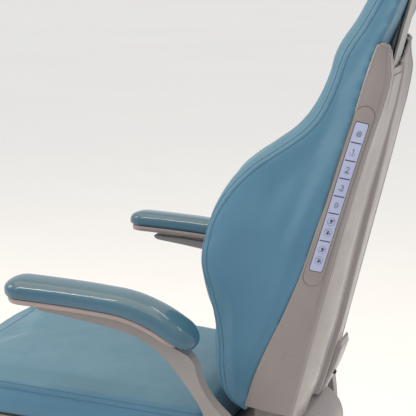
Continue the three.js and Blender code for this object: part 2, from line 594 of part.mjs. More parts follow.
function buildBackFrame() {
  const hip = hipInBack();
  const [leverY, leverZ] = leverTip();
  const knuckle = [-66, -20];
  const arm = capsule(hip, knuckle, 20);
  const armTop = capsule(knuckle, [-54, 140], 10);
  const plates = bothSides(arm, 160, 167);
  const uprightBars = [1, -1].map((sign) => box(
    Math.min(sign * 84, sign * 104), Math.max(sign * 84, sign * 104), -56, -42, 120, 500));
  const plate = (s0, s1) => box(-100, 100, -56.8, -54.2, s0, s1);
  add('back_frame', join(
    ...plates, ...bothSides(armTop, 148, 156), ...bothSides(ring(knuckle, 10), 148, 167),
    pin(hip, TUBE_RADIUS, -167, 167, 24),
    sideways(capsule(hip, [leverY, leverZ], 14), -LEVER.thick, LEVER.thick),
    box(-155, 155, -58, -42, 122, 142),
    plate(410, 440), plate(470, 494),
    ...uprightBars,
    pin([leverY, leverZ], 7, -23, 23, 12)), PAINTED, back);
  add('back_board', loft([12, 110, 200, 300, 450, 500, 536].map((s) => {
    const w = wingHalf(s) - 12;
    const y = wingFront(s) + 1;
    return { outline: [[w, y], [w, y + 5], [-w, y + 5], [-w, y]], place: across(s) };
  })), PLYWOOD, back);
  const { half: barHalf, front, rear } = GLIDE;
  const sleeve = rounded([[barHalf + 9, front - 3.5, 2], [barHalf + 9, rear + 3, 2], [-barHalf - 9, rear + 3, 2],
    [-barHalf - 9, front - 3.5, 2]], 2);
  const slot = [
    [barHalf + 1, front - 1], [barHalf + 1, rear + 1], [-barHalf - 1, rear + 1], [-barHalf - 1, front - 1]];
  add('headrest_guide', upright(sleeve, 404, 522, [slot]), STEEL, back);
}

// a world place in the backrest's own frame
function inBack([y, z]) {
  const [c, s] = dirYZ(BACK_LEAN);
  const [dy, dz] = [y - SITTER[0], z - SITTER[1]];
  return [dy * c - dz * s, dy * s + dz * c];
}

const hipInBack = () => inBack(HIP);
const leverTip = () => inBack(polar(HIP, LEVER.radius, LEVER.restDeg));

function buildBackCushion() {
  const levels = [
    -24, 0, 50, 100, 150, 200, 225, 267, 300, 339, 370, 405, 435, 465, 500, 550, 600, 640, 698, 712];
  add('back_cushion', loft(levels.map((s) => {
    const end = s > 705 ? 9 : s > 690 ? 3 : s < -10 ? 8 : 0;
    const w = wingHalf(s) - 2 - end;
    const front = padFront(s) + end;
    const rear = wingFront(s) - 0.6 - end / 2;
    const round = Math.min(26, (rear - front) * 0.6);
    const outline = rounded([[w, front, round], [w, rear, 3], [-w, rear, 3], [-w, front, round]], 3);
    return { outline, place: across(s) };
  })), UPHOLSTERY, back);
}

// plate with round ends lying on the side wing
function wingPlate(sign, halfLength, halfWidth, radius, inner, outer) {
  const middle = 358;
  const ends = [0, 0.13, 0.5, 1].map((share) => halfLength - radius * share);
  const straight = [250, 300, 350, 400, 450].filter((s) => Math.abs(s - middle) < halfLength - radius);
  const levels = [...ends.map((d) => middle - d), ...straight, ...ends.map((d) => middle + d).reverse()];
  return loft(levels.map((s) => {
    const front = new THREE.Vector2(wingHalf(s), wingFront(s));
    const rear = new THREE.Vector2(beadHalf(s), beadRear(s) - 2);
    const along = front.clone().sub(rear).normalize();
    const centre = front.add(rear).multiplyScalar(0.5);
    const past = Math.max(0, Math.abs(s - middle) - (halfLength - radius));
    const h = halfWidth - radius + Math.sqrt(Math.max(radius ** 2 - past ** 2, 1));
    return {
      outline: [[-h, inner], [h, inner], [h, outer], [-h, outer]],
      place: (a, b) => [sign * (centre.x + along.x * a - along.y * b), centre.y + along.y * a + along.x * b, s],
    };
  }));
}

function buildTouchpads() {
  for (const [name, sign] of [['left', 1], ['right', -1]]) {
    add(`keypad_bezel_${name}`, wingPlate(sign, 145, 15.5, 15.4, 1, 2.6), SHELL, back);
    add(`keypad_membrane_${name}`, wingPlate(sign, 120, 10, 3, 3, 3.8), MEMBRANE, back);
  }
}

// ---------------------------------------------------------------- headrest
const NECK = { low: [-38, 790], high: [-66, 846] };

function buildHeadrest() {
  const { half, front, rear, low, high } = GLIDE;
  const barOutline = rounded([[half, front, 3], [half, rear, 3], [-half, rear, 3], [-half, front, 3]], 2);
  add('headrest_glide_bar', upright(barOutline, low, high), CHROME, back);
  const yoke = capsule([NECK.low[0], high + 13], NECK.low, 12);
  add('headrest_lower_yoke', join(
    box(-34, 34, -50, -27, high + GAP, high + 3.5),
    ...bothSides(yoke, 22, 33, [ring(NECK.low, 5 + FIT, 12)])), SHELL, back);
  add('headrest_neck_link', join(
    sideways(capsule(NECK.low, NECK.high, 10), -20, 20),
    pin(NECK.low, 5, -36, 36, 12), pin(NECK.high, 5, -36, 36, 12)), SHELL, back);
  const lug = rounded([
    [NECK.high[0] + 11, NECK.high[1] - 11, 10], [NECK.high[0] + 11, NECK.high[1] + 11, 10],
    [-84, NECK.high[1] + 16], [-84, NECK.high[1] - 16]]);
  const plate = rounded([[-89, 762, 2], [-82, 762, 2], [-82, 900, 2], [-89, 900, 2]], 1);
  add('headrest_plate', join(sideways(plate, -105, 105),
    ...bothSides(lug, 22, 32, [ring(NECK.high, 5 + FIT, 12)])), SHELL, back);
  add('headrest_cushion', loft([-128, -114, -60, 0, 60, 114, 128].map((x) => {
    const inset = Math.abs(x) > 120 ? 14 : 0;
    const cup = 14 * (Math.abs(x) / 128) ** 2;
    const outline = rounded([
      [-89.5, 752 + inset, 6], [-89.5, 908 - inset, 6],
      [-136 - cup + inset, 908 - inset, 18], [-136 - cup + inset, 752 + inset, 18]], 3);
    return { outline, place: (y, z) => [x, y, z] };
  })), UPHOLSTERY, back);
  const hub = NECK.high;
  add('headrest_release_lever', join(pin(hub, 9, 37, 43, 16),
    sideways(capsule([hub[0] + 4, hub[1] + 2], [hub[0] + 40, hub[1] + 16], 6), 37, 43)), GLOSS, back);
}

// ---------------------------------------------------------------- arms
// line of the lower edge of the arm pad, tip first
const ARM_LINE = new THREE.SplineCurve([
  [-205, 625], [-160, 623.5], [-100, 620.5], [-45, 616.5], [5, 610.5], [50, 595], [84, 575.5], [112, 556],
].map(([y, z]) => new THREE.Vector2(y, z)));

// station of the arm: offsets across X and square to the arm line, the outer edge canted down
function armStation(share, outline, x) {
  const at = ARM_LINE.getPointAt(share);
  const along = ARM_LINE.getTangentAt(share);
  const [c, s] = dirYZ(ARM.cant * Math.sign(x));
  const place = (a, b) => {
    const rise = b * c - a * s;
    return [x + a * c + b * s, at.x - rise * along.y, at.y + rise * along.x];
  };
  return { outline, place };
}

function armBody(x, half, low, high, from, to, endRound) {
  const length = ARM_LINE.getLength();
  const shares = [0, 0.08, 0.3, 0.62, 1];
  const middle = [0.15, 0.3, 0.45, 0.56, 0.66, 0.76, 0.88];
  const stations = [];
  const push = (distance, scale) => {
    const w = half * scale;
    const drop = (high - low) * 0.62 * (1 - scale);
    const lift = (high - low) * 0.15 * (1 - scale);
    const padding = [
      [w, low + lift, 4 * scale], [w, high - drop - 12 * scale, 9 * scale], [w * 0.5, high - drop],
      [-w * 0.5, high - drop], [-w, high - drop - 12 * scale, 9 * scale], [-w, low + lift, 4 * scale]];
    const tray = [[w, low, 3 * scale], [w, high, 2 * scale], [-w, high, 2 * scale], [-w, low, 3 * scale]];
    stations.push(armStation(distance / length, rounded(high - low > 20 ? padding : tray, 2), x));
  };
  const begin = from * length;
  const end = to * length;
  const roundScale = (share) => Math.sqrt(Math.max(1 - (1 - share) ** 2, 0.12));
  shares.forEach((share) => push(begin + share * endRound, roundScale(share)));
  middle.forEach((share) => push(begin + endRound + share * (end - begin - 2 * endRound), 1));
  [...shares].reverse().forEach((share) => push(end - share * endRound, roundScale(share)));
  return loft(stations);
}

function buildArms() {
  const under = 16;
  const point = (share) => {
    const at = ARM_LINE.getPointAt(share);
    const along = ARM_LINE.getTangentAt(share);
    return [at.x + under * along.y, at.y - under * along.x];
  };
  const smooth = (points, count) => new THREE.SplineCurve(points.map(([y, z]) => new THREE.Vector2(y, z)))
    .getPoints(count).map(({ x, y }) => [x, y]);
  const { pivot, hub } = ARM;
  const spine = [0.165, 0.35, 0.5, 0.62, 0.74, 0.84, 0.9].map(point);
  const rearEdge = smooth([
    [105, 548], [114, 538], [118, 526], [122, 512], [129, 496], [139, 480], [151, 466], [169, 449],
    [190, 420], [206, 382], [213, 345], polar(pivot, hub, 20)], 16);
  const hubArc = [0, -20, -40, -60, -80, -100, -120, -140, -160].map((a) => polar(pivot, hub, a));
  const frontEdge = smooth([
    polar(pivot, hub, 175), [130, 350], [136, 410], [130, 456], [116, 480], [102, 500], [86, 520],
    [69, 538], [50, 554], [31, 565], [8, 574.5], [-60, 588], [-136, 598.5]], 20);
  const outline = [...spine, ...rearEdge, ...hubArc, ...frontEdge, [-145, 600], [-150, 603.5]];
  const inside = ARM.x - 18;
  const outside = ARM.x + 8;
  for (const [name, sign] of [['left', 1], ['right', -1]]) {
    const x = sign * ARM.x;
    const [x0, x1] = [inside * sign, outside * sign].sort((a, b) => a - b);
    add(`arm_post_${name}`, sideways(outline, x0, x1, [ring(pivot, 9 + FIT, 16)]), SHELL);
    add(`arm_tray_${name}`, armBody(x, ARM.half - 3, -11, -1.4, 0.02, 0.935, 28), SHELL);
    add(`arm_cap_${name}`, armBody(x, ARM.half, 0, ARM.thick, 0, 1, 34), GLOSS);
    const inner = (outside + GAP) * sign;
    const outer = (outside + 20) * sign;
    const bore = (outside + 14) * sign;
    const [c0, c1] = [inner, outer].sort((a, b) => a - b);
    const [b0, b1] = [inner - sign, bore].sort((a, b) => a - b);
    add(`arm_hub_cap_${name}`, cut(pin(pivot, hub - 8, c0, c1, 28), pin(pivot, 11, b0, b1, 16)), SHELL);
  }
}

buildBase();
buildPedestal();
buildLift();
buildCarrier();
buildSeat();
buildBackShell();
buildBackFrame();
buildBackCushion();
buildTouchpads();
buildHeadrest();
buildArms();

export default chair;
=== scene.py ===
"""Dental chair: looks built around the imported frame. Metres, +Z up, the sitter faces -Y."""
import json
import math

import bmesh
import bpy
import numpy as np
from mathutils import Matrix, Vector
from mathutils.bvhtree import BVHTree
from mathutils.kdtree import KDTree


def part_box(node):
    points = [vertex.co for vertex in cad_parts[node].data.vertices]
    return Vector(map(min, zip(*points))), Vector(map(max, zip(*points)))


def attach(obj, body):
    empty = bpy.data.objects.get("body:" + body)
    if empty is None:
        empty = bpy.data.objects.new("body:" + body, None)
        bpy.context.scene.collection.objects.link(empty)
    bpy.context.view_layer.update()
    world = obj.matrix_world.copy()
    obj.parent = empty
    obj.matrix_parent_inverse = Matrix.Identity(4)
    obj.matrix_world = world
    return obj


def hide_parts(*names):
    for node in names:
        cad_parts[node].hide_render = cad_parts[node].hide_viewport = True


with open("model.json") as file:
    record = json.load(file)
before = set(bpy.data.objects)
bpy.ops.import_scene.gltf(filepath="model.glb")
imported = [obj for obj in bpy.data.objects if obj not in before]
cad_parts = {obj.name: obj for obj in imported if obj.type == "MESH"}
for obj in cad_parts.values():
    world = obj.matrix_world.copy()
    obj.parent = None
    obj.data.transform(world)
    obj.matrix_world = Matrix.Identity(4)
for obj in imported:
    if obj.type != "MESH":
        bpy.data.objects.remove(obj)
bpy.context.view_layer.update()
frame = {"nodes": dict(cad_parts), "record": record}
MM = 0.001
SIDES = (("left", 1), ("right", -1))        # the sitter's left is +X
SHARP = 32.0                # degrees between faces from which an edge counts as sharp

# -------- camera
AZIMUTH, PITCH = math.radians(107.93), math.radians(11.29)
CAMERA_PLACE = (2.2593, 0.7763, 1.1976)
CAMERA_LENS, SENSOR_WIDTH = 121.15, 36.0    # millimetres
cam_data = bpy.data.cameras.new("camera")
cam_data.sensor_width = SENSOR_WIDTH
cam_data.lens = CAMERA_LENS
cam_data.clip_end = 50.0
cam = bpy.data.objects.new("camera", cam_data)
bpy.context.scene.collection.objects.link(cam)
away = Vector((math.sin(AZIMUTH) * math.cos(PITCH), -math.cos(AZIMUTH) * math.cos(PITCH), math.sin(PITCH)))
cam.location = CAMERA_PLACE
cam.rotation_euler = (-away).to_track_quat("-Z", "Y").to_euler()
bpy.context.scene.camera = cam


# -------- materials
def linear(r, g, b):
    """Display colour, 0 to 255, as a linear one."""
    out = []
    for c in (r, g, b):
        c /= 255.0
        out.append(c / 12.92 if c <= 0.04045 else ((c + 0.055) / 1.055) ** 2.4)
    return (*out, 1.0)


def link(tree, a, b):
    tree.links.new(a, b)


def put(node, values):
    for name, value in values.items():
        node.inputs[name].default_value = value


def noise(tree, scale, detail=4.0, rough=0.55, stretch=None):
    coord = tree.nodes.new("ShaderNodeTexCoord")
    tex = tree.nodes.new("ShaderNodeTexNoise")
    put(tex, {"Scale": scale, "Detail": detail, "Roughness": rough})
    if stretch:
        mapping = tree.nodes.new("ShaderNodeMapping")
        put(mapping, {"Scale": stretch})
        link(tree, coord.outputs["Object"], mapping.inputs["Vector"])
        link(tree, mapping.outputs["Vector"], tex.inputs["Vector"])
    else:
        link(tree, coord.outputs["Object"], tex.inputs["Vector"])
    return tex


def ramp(tree, source, low, high, a=0.35, b=0.65):
    """Colour from low to high as source goes from a to b."""
    node = tree.nodes.new("ShaderNodeValToRGB")
    node.color_ramp.elements[0].position = a
    node.color_ramp.elements[0].color = low
    node.color_ramp.elements[1].position = b
    node.color_ramp.elements[1].color = high
    link(tree, source, node.inputs["Fac"])
    return node.outputs["Color"]


def spread(tree, source, low, high):
    """Number from low to high, following a noise."""
    node = tree.nodes.new("ShaderNodeMapRange")
    put(node, {"From Min": 0.3, "From Max": 0.7, "To Min": low, "To Max": high})
    link(tree, source, node.inputs["Value"])
    return node.outputs["Result"]


def bump(tree, height, strength, distance, normal=None):
    node = tree.nodes.new("ShaderNodeBump")
    put(node, {"Strength": strength, "Distance": distance})
    link(tree, height, node.inputs["Height"])
    if normal is not None:
        link(tree, normal, node.inputs["Normal"])
    return node.outputs["Normal"]


def surface(name, dark, light, rough, metal=0.0, patch=6.0, grain=900.0, depth=0.00008, coat=0.0,
            coat_rough=0.05, stretch=None, sheen=0.0, specular=0.5, cells=None):
    """Material with clouded colour, smudged gloss and a fine grain; cells adds a pebbled skin."""
    material = bpy.data.materials.new(name)
    material.use_nodes = True
    tree = material.node_tree
    shader = tree.nodes["Principled BSDF"]
    put(shader, {"Metallic": metal, "Specular IOR Level": specular})
    if coat:
        put(shader, {"Coat Weight": coat, "Coat Roughness": coat_rough})
    if sheen:
        put(shader, {"Sheen Weight": sheen, "Sheen Roughness": 0.5})
    clouds = noise(tree, patch, detail=5.0, rough=0.6, stretch=stretch)
    link(tree, ramp(tree, clouds.outputs["Fac"], dark, light), shader.inputs["Base Color"])
    smudge = noise(tree, patch * 5.0, detail=4.0, rough=0.6, stretch=stretch)
    link(tree, spread(tree, smudge.outputs["Fac"], rough[0], rough[1]), shader.inputs["Roughness"])
    fine = noise(tree, grain, detail=3.0, rough=0.6, stretch=stretch)
    normal = bump(tree, fine.outputs["Fac"], strength=0.5, distance=depth)
    if cells:
        coord = tree.nodes.new("ShaderNodeTexCoord")
        pebble = tree.nodes.new("ShaderNodeTexVoronoi")
        put(pebble, {"Scale": cells})
        link(tree, coord.outputs["Object"], pebble.inputs["Vector"])
        normal = bump(tree, pebble.outputs["Distance"], strength=0.35, distance=depth * 1.5,
                      normal=normal)
    link(tree, normal, shader.inputs["Normal"])
    return material


MAT = {
    "upholstery": surface(
        "upholstery_vinyl", linear(69, 113, 140), linear(76, 121, 149), (0.36, 0.5),
        patch=3.0, grain=1500.0, depth=0.00005, cells=1100.0, sheen=0.04, specular=0.36),
    # darker blue for the stitches and for the cord under them, which is painted shadow of the seam's groove
    "thread": surface(
        "stitch_thread_and_seam_shade", linear(60, 100, 128), linear(70, 112, 138), (0.6, 0.75),
        patch=80.0, grain=3000.0, depth=0.0001),
    "arm_pad": surface(
        "arm_pad_gloss", linear(49, 89, 112), linear(55, 97, 120), (0.3, 0.4),
        patch=4.0, grain=300.0, depth=0.00003, coat=0.75, coat_rough=0.015, specular=0.25),
    "shell": surface(
        "shell_plastic", linear(135, 128, 128), linear(144, 137, 137), (0.26, 0.38),
        patch=5.0, grain=700.0, depth=0.00006, coat=0.22, coat_rough=0.08, specular=0.3),
    # darker copy of the shell plastic, for the ring round each keypad frame: painted shade of the gap there
    "shell_shadow": surface(
        "shell_painted_shade", linear(98, 92, 89), linear(108, 102, 98), (0.5, 0.6),
        patch=9.0, grain=700.0, depth=0.00006),
    "tray": surface(
        "tray_plastic", linear(146, 131, 128), linear(156, 141, 138), (0.35, 0.48),
        patch=7.0, grain=800.0, depth=0.00006, coat=0.2, coat_rough=0.2),
    "post": surface(
        "post_plastic", linear(128, 124, 125), linear(138, 134, 135), (0.35, 0.48),
        patch=7.0, grain=800.0, depth=0.00006, coat=0.2, coat_rough=0.2),
    "painted_steel": surface(
        "powder_coat", linear(138, 134, 130), linear(148, 144, 140), (0.42, 0.56),
        patch=8.0, grain=650.0, depth=0.00016, cells=420.0),
    "chrome": surface(
        "polished_chrome", linear(190, 193, 197), linear(210, 212, 215), (0.05, 0.12),
        metal=1.0, patch=12.0, grain=500.0, depth=0.00002),
    "glide": surface(
        "dark_chrome", linear(62, 60, 59), linear(128, 124, 119), (0.08, 0.2),
        metal=0.9, patch=26.0, grain=900.0, depth=0.00003, stretch=(2.0, 2.0, 0.1)),
    "steel": surface(
        "brushed_steel", linear(138, 141, 144), linear(160, 163, 166), (0.25, 0.4),
        metal=1.0, patch=20.0, grain=1200.0, depth=0.00006, stretch=(8.0, 0.6, 0.6)),
    "rubber": surface(
        "rubber", linear(36, 37, 39), linear(48, 49, 51), (0.7, 0.85),
        patch=18.0, grain=900.0, depth=0.0002),
    "membrane": surface(
        "keypad_film", linear(164, 172, 206), linear(174, 182, 214), (0.3, 0.4),
        patch=12.0, grain=1400.0, depth=0.00004),
    "ink": surface(
        "keypad_ink", linear(70, 74, 90), linear(84, 88, 104), (0.4, 0.5),
        patch=60.0, grain=900.0),
    "dark_ink": surface(
        "keypad_dark_ink", linear(30, 40, 50), linear(44, 54, 64), (0.4, 0.5),
        patch=60.0, grain=900.0),
    "plywood": surface(
        "birch_ply", linear(160, 130, 92), linear(186, 156, 116), (0.55, 0.7),
        patch=10.0, grain=400.0, depth=0.0001, stretch=(0.6, 6.0, 6.0)),
    "dark_screw": surface(
        "black_oxide", linear(34, 42, 46), linear(52, 60, 64), (0.3, 0.42),
        metal=0.8, patch=40.0),
}


def clear_sheet():
    """Thin clear plastic, seen through by its alpha."""
    material = bpy.data.materials.new("clear_sheet")
    material.use_nodes = True
    tree = material.node_tree
    shader = tree.nodes["Principled BSDF"]
    put(shader, {"Base Color": linear(214, 224, 228), "Alpha": 0.28, "Coat Weight": 0.8,
                 "Coat Roughness": 0.08})
    smudge = noise(tree, 22.0)
    link(tree, spread(tree, smudge.outputs["Fac"], 0.08, 0.2), shader.inputs["Roughness"])
    wave = noise(tree, 9.0)
    link(tree, bump(tree, wave.outputs["Fac"], 0.4, 0.0006), shader.inputs["Normal"])
    return material


MAT["clear_sheet"] = clear_sheet()


# -------- mesh helpers
def make(name, verts, faces, key, body=None, slot=None, sharp=SHARP):
    """Object from points and faces, on a body if one is named."""
    mesh = bpy.data.meshes.new(name)
    mesh.from_pydata([tuple(v) for v in verts], [], faces)
    bm = bmesh.new()
    bm.from_mesh(mesh)
    bmesh.ops.remove_doubles(bm, verts=bm.verts, dist=1e-6)
    bmesh.ops.recalc_face_normals(bm, faces=bm.faces)
    bm.to_mesh(mesh)
    bm.free()
    obj = bpy.data.objects.new(name, mesh)
    bpy.context.scene.collection.objects.link(obj)
    mesh.materials.append(MAT[key])
    smooth(obj, sharp)
    if body:
        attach(obj, body)
    return obj


def smooth(obj, sharp=SHARP):
    mesh = obj.data
    mesh.polygons.foreach_set("use_smooth", [True] * len(mesh.polygons))
    if sharp < 180.0:
        mesh.set_sharp_from_angle(angle=math.radians(sharp))


def bevel(obj, width, segments=2, angle=35.0):
    mod = obj.modifiers.new("bevel", "BEVEL")
    mod.width = width
    mod.segments = segments
    mod.limit_method = "ANGLE"
    mod.angle_limit = math.radians(angle)
    mod.harden_normals = True
    return mod


def apply_modifiers(obj):
    deps = bpy.context.evaluated_depsgraph_get()
    mesh = bpy.data.meshes.new_from_object(obj.evaluated_get(deps), depsgraph=deps)
    obj.modifiers.clear()
    old = obj.data
    obj.data = mesh
    bpy.data.meshes.remove(old)


def loft(rings):
    """Closed skin over rings of equal count."""
    count = len(rings[0])
    verts = [p for ring in rings for p in ring]
    faces = []
    for i in range(len(rings) - 1):
        for j in range(count):
            k = (j + 1) % count
            faces.append((i * count + j, i * count + k, (i + 1) * count + k, (i + 1) * count + j))
    faces.append(tuple(range(count))[::-1])
    faces.append(tuple((len(rings) - 1) * count + j for j in range(count)))
    return verts, faces


SPLINE_STEPS = 24           # samples between two points of a spline


def block_faces(count):
    """Faces of a block between two outlines of count points each."""
    faces = [tuple(range(count))[::-1], tuple(range(count, 2 * count))]
    return faces + [(i, (i + 1) % count, count + (i + 1) % count, count + i) for i in range(count)]


def hermite(points):
    """Smooth curve through (x, y) points, as a function of x."""
    xs = [p[0] for p in points]
    ys = [p[1] for p in points]
    last = len(points) - 1
    slopes = []
    for i in range(last + 1):
        a, b = max(i - 1, 0), min(i + 1, last)
        slopes.append((ys[b] - ys[a]) / (xs[b] - xs[a]))

    def value(x):
        i = 0
        while i < last - 1 and x > xs[i + 1]:
            i += 1
        span = xs[i + 1] - xs[i]
        t = min(max((x - xs[i]) / span, 0.0), 1.0)
        t2, t3 = t * t, t * t * t
        return ((2 * t3 - 3 * t2 + 1) * ys[i] + (t3 - 2 * t2 + t) * span * slopes[i]
                + (3 * t2 - 2 * t3) * ys[i + 1] + (t3 - t2) * span * slopes[i + 1])
    return value


def run_along(points):
    """Length travelled up to each point."""
    return np.concatenate([[0], np.cumsum(np.linalg.norm(np.diff(points, axis=0), axis=1))])


def spline(points, count):
    """Even samples along a Catmull-Rom curve through points."""
    pts = [np.array(p, float) for p in points]
    dense = []
    for i in range(len(pts) - 1):
        p0, p1, p2, p3 = pts[max(i - 1, 0)], pts[i], pts[i + 1], pts[min(i + 2, len(pts) - 1)]
        for k in range(SPLINE_STEPS):
            t = k / SPLINE_STEPS
            dense.append(0.5 * (2 * p1 + (p2 - p0) * t + (2 * p0 - 5 * p1 + 4 * p2 - p3) * t * t
                                + (3 * p1 - p0 - 3 * p2 + p3) * t ** 3))
    dense.append(pts[-1])
    dense = np.array(dense)
    run = run_along(dense)
    want = np.linspace(0, run[-1], count)
    return np.stack([np.interp(want, run, dense[:, k]) for k in range(dense.shape[1])], 1), run[-1]


def tube(path, radius, sides=6):
    """Closed round cord along a path of Vectors."""
    rings = []
    frame_up = None
    for i, p in enumerate(path):
        d = (path[min(i + 1, len(path) - 1)] - path[max(i - 1, 0)]).normalized()
        if frame_up is None:
            frame_up = d.orthogonal().normalized()
        frame_up = (frame_up - d * frame_up.dot(d)).normalized()
        side = d.cross(frame_up)
        turns = [2 * math.pi * k / sides for k in range(sides)]
        rings.append([p + radius * (frame_up * math.cos(a) + side * math.sin(a)) for a in turns])
    return loft(rings)


def merge(parts):
    """Several (points, faces) pairs as one."""
    verts, faces = [], []
    for v, f in parts:
        base = len(verts)
        verts.extend(v)
        faces.extend(tuple(i + base for i in face) for face in f)
    return verts, faces


def oval(cx, cy, rx, ry, count=18, start=0.0, end=360.0):
    """Points on an ellipse from start to end, in degrees."""
    turns = [math.radians(start + (end - start) * k / count) for k in range(count + 1)]
    return [(cx + rx * math.cos(a), cy + ry * math.sin(a)) for a in turns]


def arc(cx, cy, radius, start, end, steps):
    return oval(cx, cy, radius, radius, steps, start, end)


def round_end(end, radius):
    """Inset that rounds a form off over its last radius; end is the distance left to the end."""
    return radius * (1 - math.sqrt(max(0.0, 1 - (1 - min(end, radius) / radius) ** 2)))


def rounded_loop(half_x, half_y, radius, count):
    """Even samples round a rectangle with round corners."""
    pts = []
    for sx, sy, start in ((1, 1, 0), (-1, 1, 90), (-1, -1, 180), (1, -1, 270)):
        pts += arc(sx * (half_x - radius), sy * (half_y - radius), radius, start, start + 90, 8)
    pts.append(pts[0])
    dense = np.array(pts)
    run = run_along(dense)
    want = np.linspace(0, run[-1], count)
    return [(np.interp(w, run, dense[:, 0]), np.interp(w, run, dense[:, 1])) for w in want]


# -------- shared shapes (millimetres)
SITTER = (268.0, 428.0)     # y and z where seat and back meet
LEAN = math.radians(14.5)   # of the back
RISE = math.radians(3.4)    # of the seat towards the knees
REARWARDS = Vector((0, math.cos(LEAN), -math.sin(LEAN)))    # square to the back
SHELL_LOW, SHELL_HIGH = -44, 608    # up the back


def back_point(x, t, s):
    """x across, t rearwards, s up the back."""
    return Vector((x, SITTER[0] + s * math.sin(LEAN) + t * math.cos(LEAN),
                   SITTER[1] + s * math.cos(LEAN) - t * math.sin(LEAN))) * MM


def seat_point(x, forward, height):
    """x across, then forward along the seat and height above it."""
    return Vector((x, SITTER[0] - forward * math.cos(RISE) + height * math.sin(RISE),
                   SITTER[1] + forward * math.sin(RISE) + height * math.cos(RISE))) * MM


# outlines of the back, each over the height s
wing_half = hermite([(-44, 198), (0, 195), (150, 187), (250, 182), (300, 179), (350, 174), (400, 166),
                     (450, 154), (500, 140), (550, 127), (600, 115), (640, 108), (712, 95)])
bead_half = hermite([(-44, 178), (0, 175), (150, 168), (250, 164), (300, 161), (350, 157), (400, 150),
                     (450, 139), (500, 125), (550, 112), (600, 101), (640, 95)])
wing_front = hermite([(-44, -99), (0, -99), (50, -97), (100, -89.5), (150, -80.5), (200, -73.5),
                      (225, -70.5), (300, -66.5), (350, -64.5), (450, -63.5), (500, -64.5), (550, -65.5),
                      (600, -63), (640, -56), (712, -50)])
bead_rear = hermite([(-44, -27), (0, -28), (150, -30), (300, -31), (450, -31), (500, -30), (550, -33),
                     (580, -43), (614, -50)])
panel_rear = hermite([(-44, -22), (0, -19), (110, -17), (200, -20), (300, -23), (400, -26), (450, -29),
                      (500, -31), (550, -35), (580, -43), (614, -49)])
channel_depth = hermite([(-44, 9), (150, 9), (300, 9), (400, 7), (500, 4), (550, 3), (614, 1)])
pad_front = hermite([(-28, -118), (0, -158), (95, -197), (150, -227), (187, -245), (225, -251),
                     (267, -250), (306, -241), (339, -227), (370, -207), (405, -177), (435, -153),
                     (465, -138), (510, -130), (570, -127), (628, -110), (712, -92)])


# -------- soft pieces
PRESSURE = 4.0
CLOTH_STIFFNESS, CLOTH_BENDING = 15.0, 2.0
STITCH, STITCH_STEP = 0.0034, 0.0044
WELT_WIDTH, WELT_HEIGHT = 0.0055, 0.0011
PAD_END = 16.0              # rounding at the ends of the back and seat cushions
# seam, welt and seam, as distances from the front face, the top face and the back's zero plane
BACK_ROWS, SEAT_ROWS, HEADREST_ROWS = (17.0, 21.5, 26.0), (14.0, 18.5, 23.0), (-103.0, -107.5, -112.0)


def puff(obj, hold, cap, voxel=0.006, frames=18):
    """Remesh, blow up as cloth under pressure, and never let a point move further than cap."""
    remesh = obj.modifiers.new("remesh", "REMESH")
    remesh.mode = "VOXEL"
    remesh.voxel_size = voxel
    apply_modifiers(obj)
    count = len(obj.data.vertices)
    rest = np.zeros(count * 3)
    obj.data.vertices.foreach_get("co", rest)
    rest = rest.reshape(-1, 3)
    group = obj.vertex_groups.new(name="hold")
    group.add([i for i, p in enumerate(rest) if hold(p)], 1.0, "ADD")
    cloth = obj.modifiers.new("cloth", "CLOTH")
    settings = cloth.settings
    settings.use_pressure = True
    settings.uniform_pressure_force = PRESSURE
    settings.effector_weights.gravity = 0.0
    settings.vertex_group_mass = "hold"
    settings.tension_stiffness = CLOTH_STIFFNESS
    settings.compression_stiffness = CLOTH_STIFFNESS
    settings.bending_stiffness = CLOTH_BENDING
    settings.quality = 4
    cloth.collision_settings.use_collision = False
    cloth.point_cache.frame_start = 1
    cloth.point_cache.frame_end = frames
    scene = bpy.context.scene
    for step in range(1, frames + 1):
        scene.frame_set(step)
    deps = bpy.context.evaluated_depsgraph_get()
    blown = np.zeros(count * 3)
    obj.evaluated_get(deps).data.vertices.foreach_get("co", blown)
    blown = blown.reshape(-1, 3)
    obj.modifiers.clear()
    scene.frame_set(1)
    shift = blown - rest
    length = np.linalg.norm(shift, axis=1, keepdims=True)
    shift *= np.minimum(1.0, cap / np.maximum(length, 1e-9))
    obj.data.vertices.foreach_set("co", (rest + shift).reshape(-1))
    obj.vertex_groups.clear()
    relax = obj.modifiers.new("relax", "SMOOTH")
    relax.factor = 0.5
    relax.iterations = 4
    sub = obj.modifiers.new("subdivide", "SUBSURF")
    sub.levels = sub.render_levels = 1
    apply_modifiers(obj)
    smooth(obj, 180.0)


def surface_of(obj):
    return BVHTree.FromObject(obj, bpy.context.evaluated_depsgraph_get())


def on_surface(tree, path, lift=0.0):
    """Nearest places on a surface, lifted off it."""
    out = []
    for p in path:
        hit, normal, _, _ = tree.find_nearest(p)
        out.append(hit + normal * lift)
    return out


def sideways_onto(tree, path, sign):
    """Drop every point of path straight onto the side of a pad, then even the line out."""
    hits = []
    for p in path:
        hit, _, _, _ = tree.ray_cast(p + Vector((sign * 0.1, 0, 0)), Vector((-sign, 0, 0)))
        hits.append(hit if hit is not None else tree.find_nearest(p)[0])
    xs = np.array([h.x for h in hits])
    for _ in range(12):
        xs[1:-1] = xs[1:-1] * 0.5 + (xs[:-2] + xs[2:]) * 0.25
    return [Vector((x, h.y, h.z)) for x, h in zip(xs, hits)]


def side_rows(tree, line, offsets):
    """Rows line(sign, offset) on the two sides of a pad."""
    return {sign: [sideways_onto(tree, line(sign, off), sign) for off in offsets] for _, sign in SIDES}


def raise_along(obj, paths, width, height):
    """Lift (or sink) the surface along paths, fading out over width."""
    points = [p for path in paths for p in path]
    near = KDTree(len(points))
    for i, p in enumerate(points):
        near.insert(p, i)
    near.balance()
    mesh = obj.data
    moves = []
    for v in mesh.vertices:
        _, _, dist = near.find(v.co)
        if dist < width:
            moves.append((v.index, v.normal * (height * (math.cos(math.pi * dist / width) + 1) / 2)))
    for i, move in moves:
        mesh.vertices[i].co += move


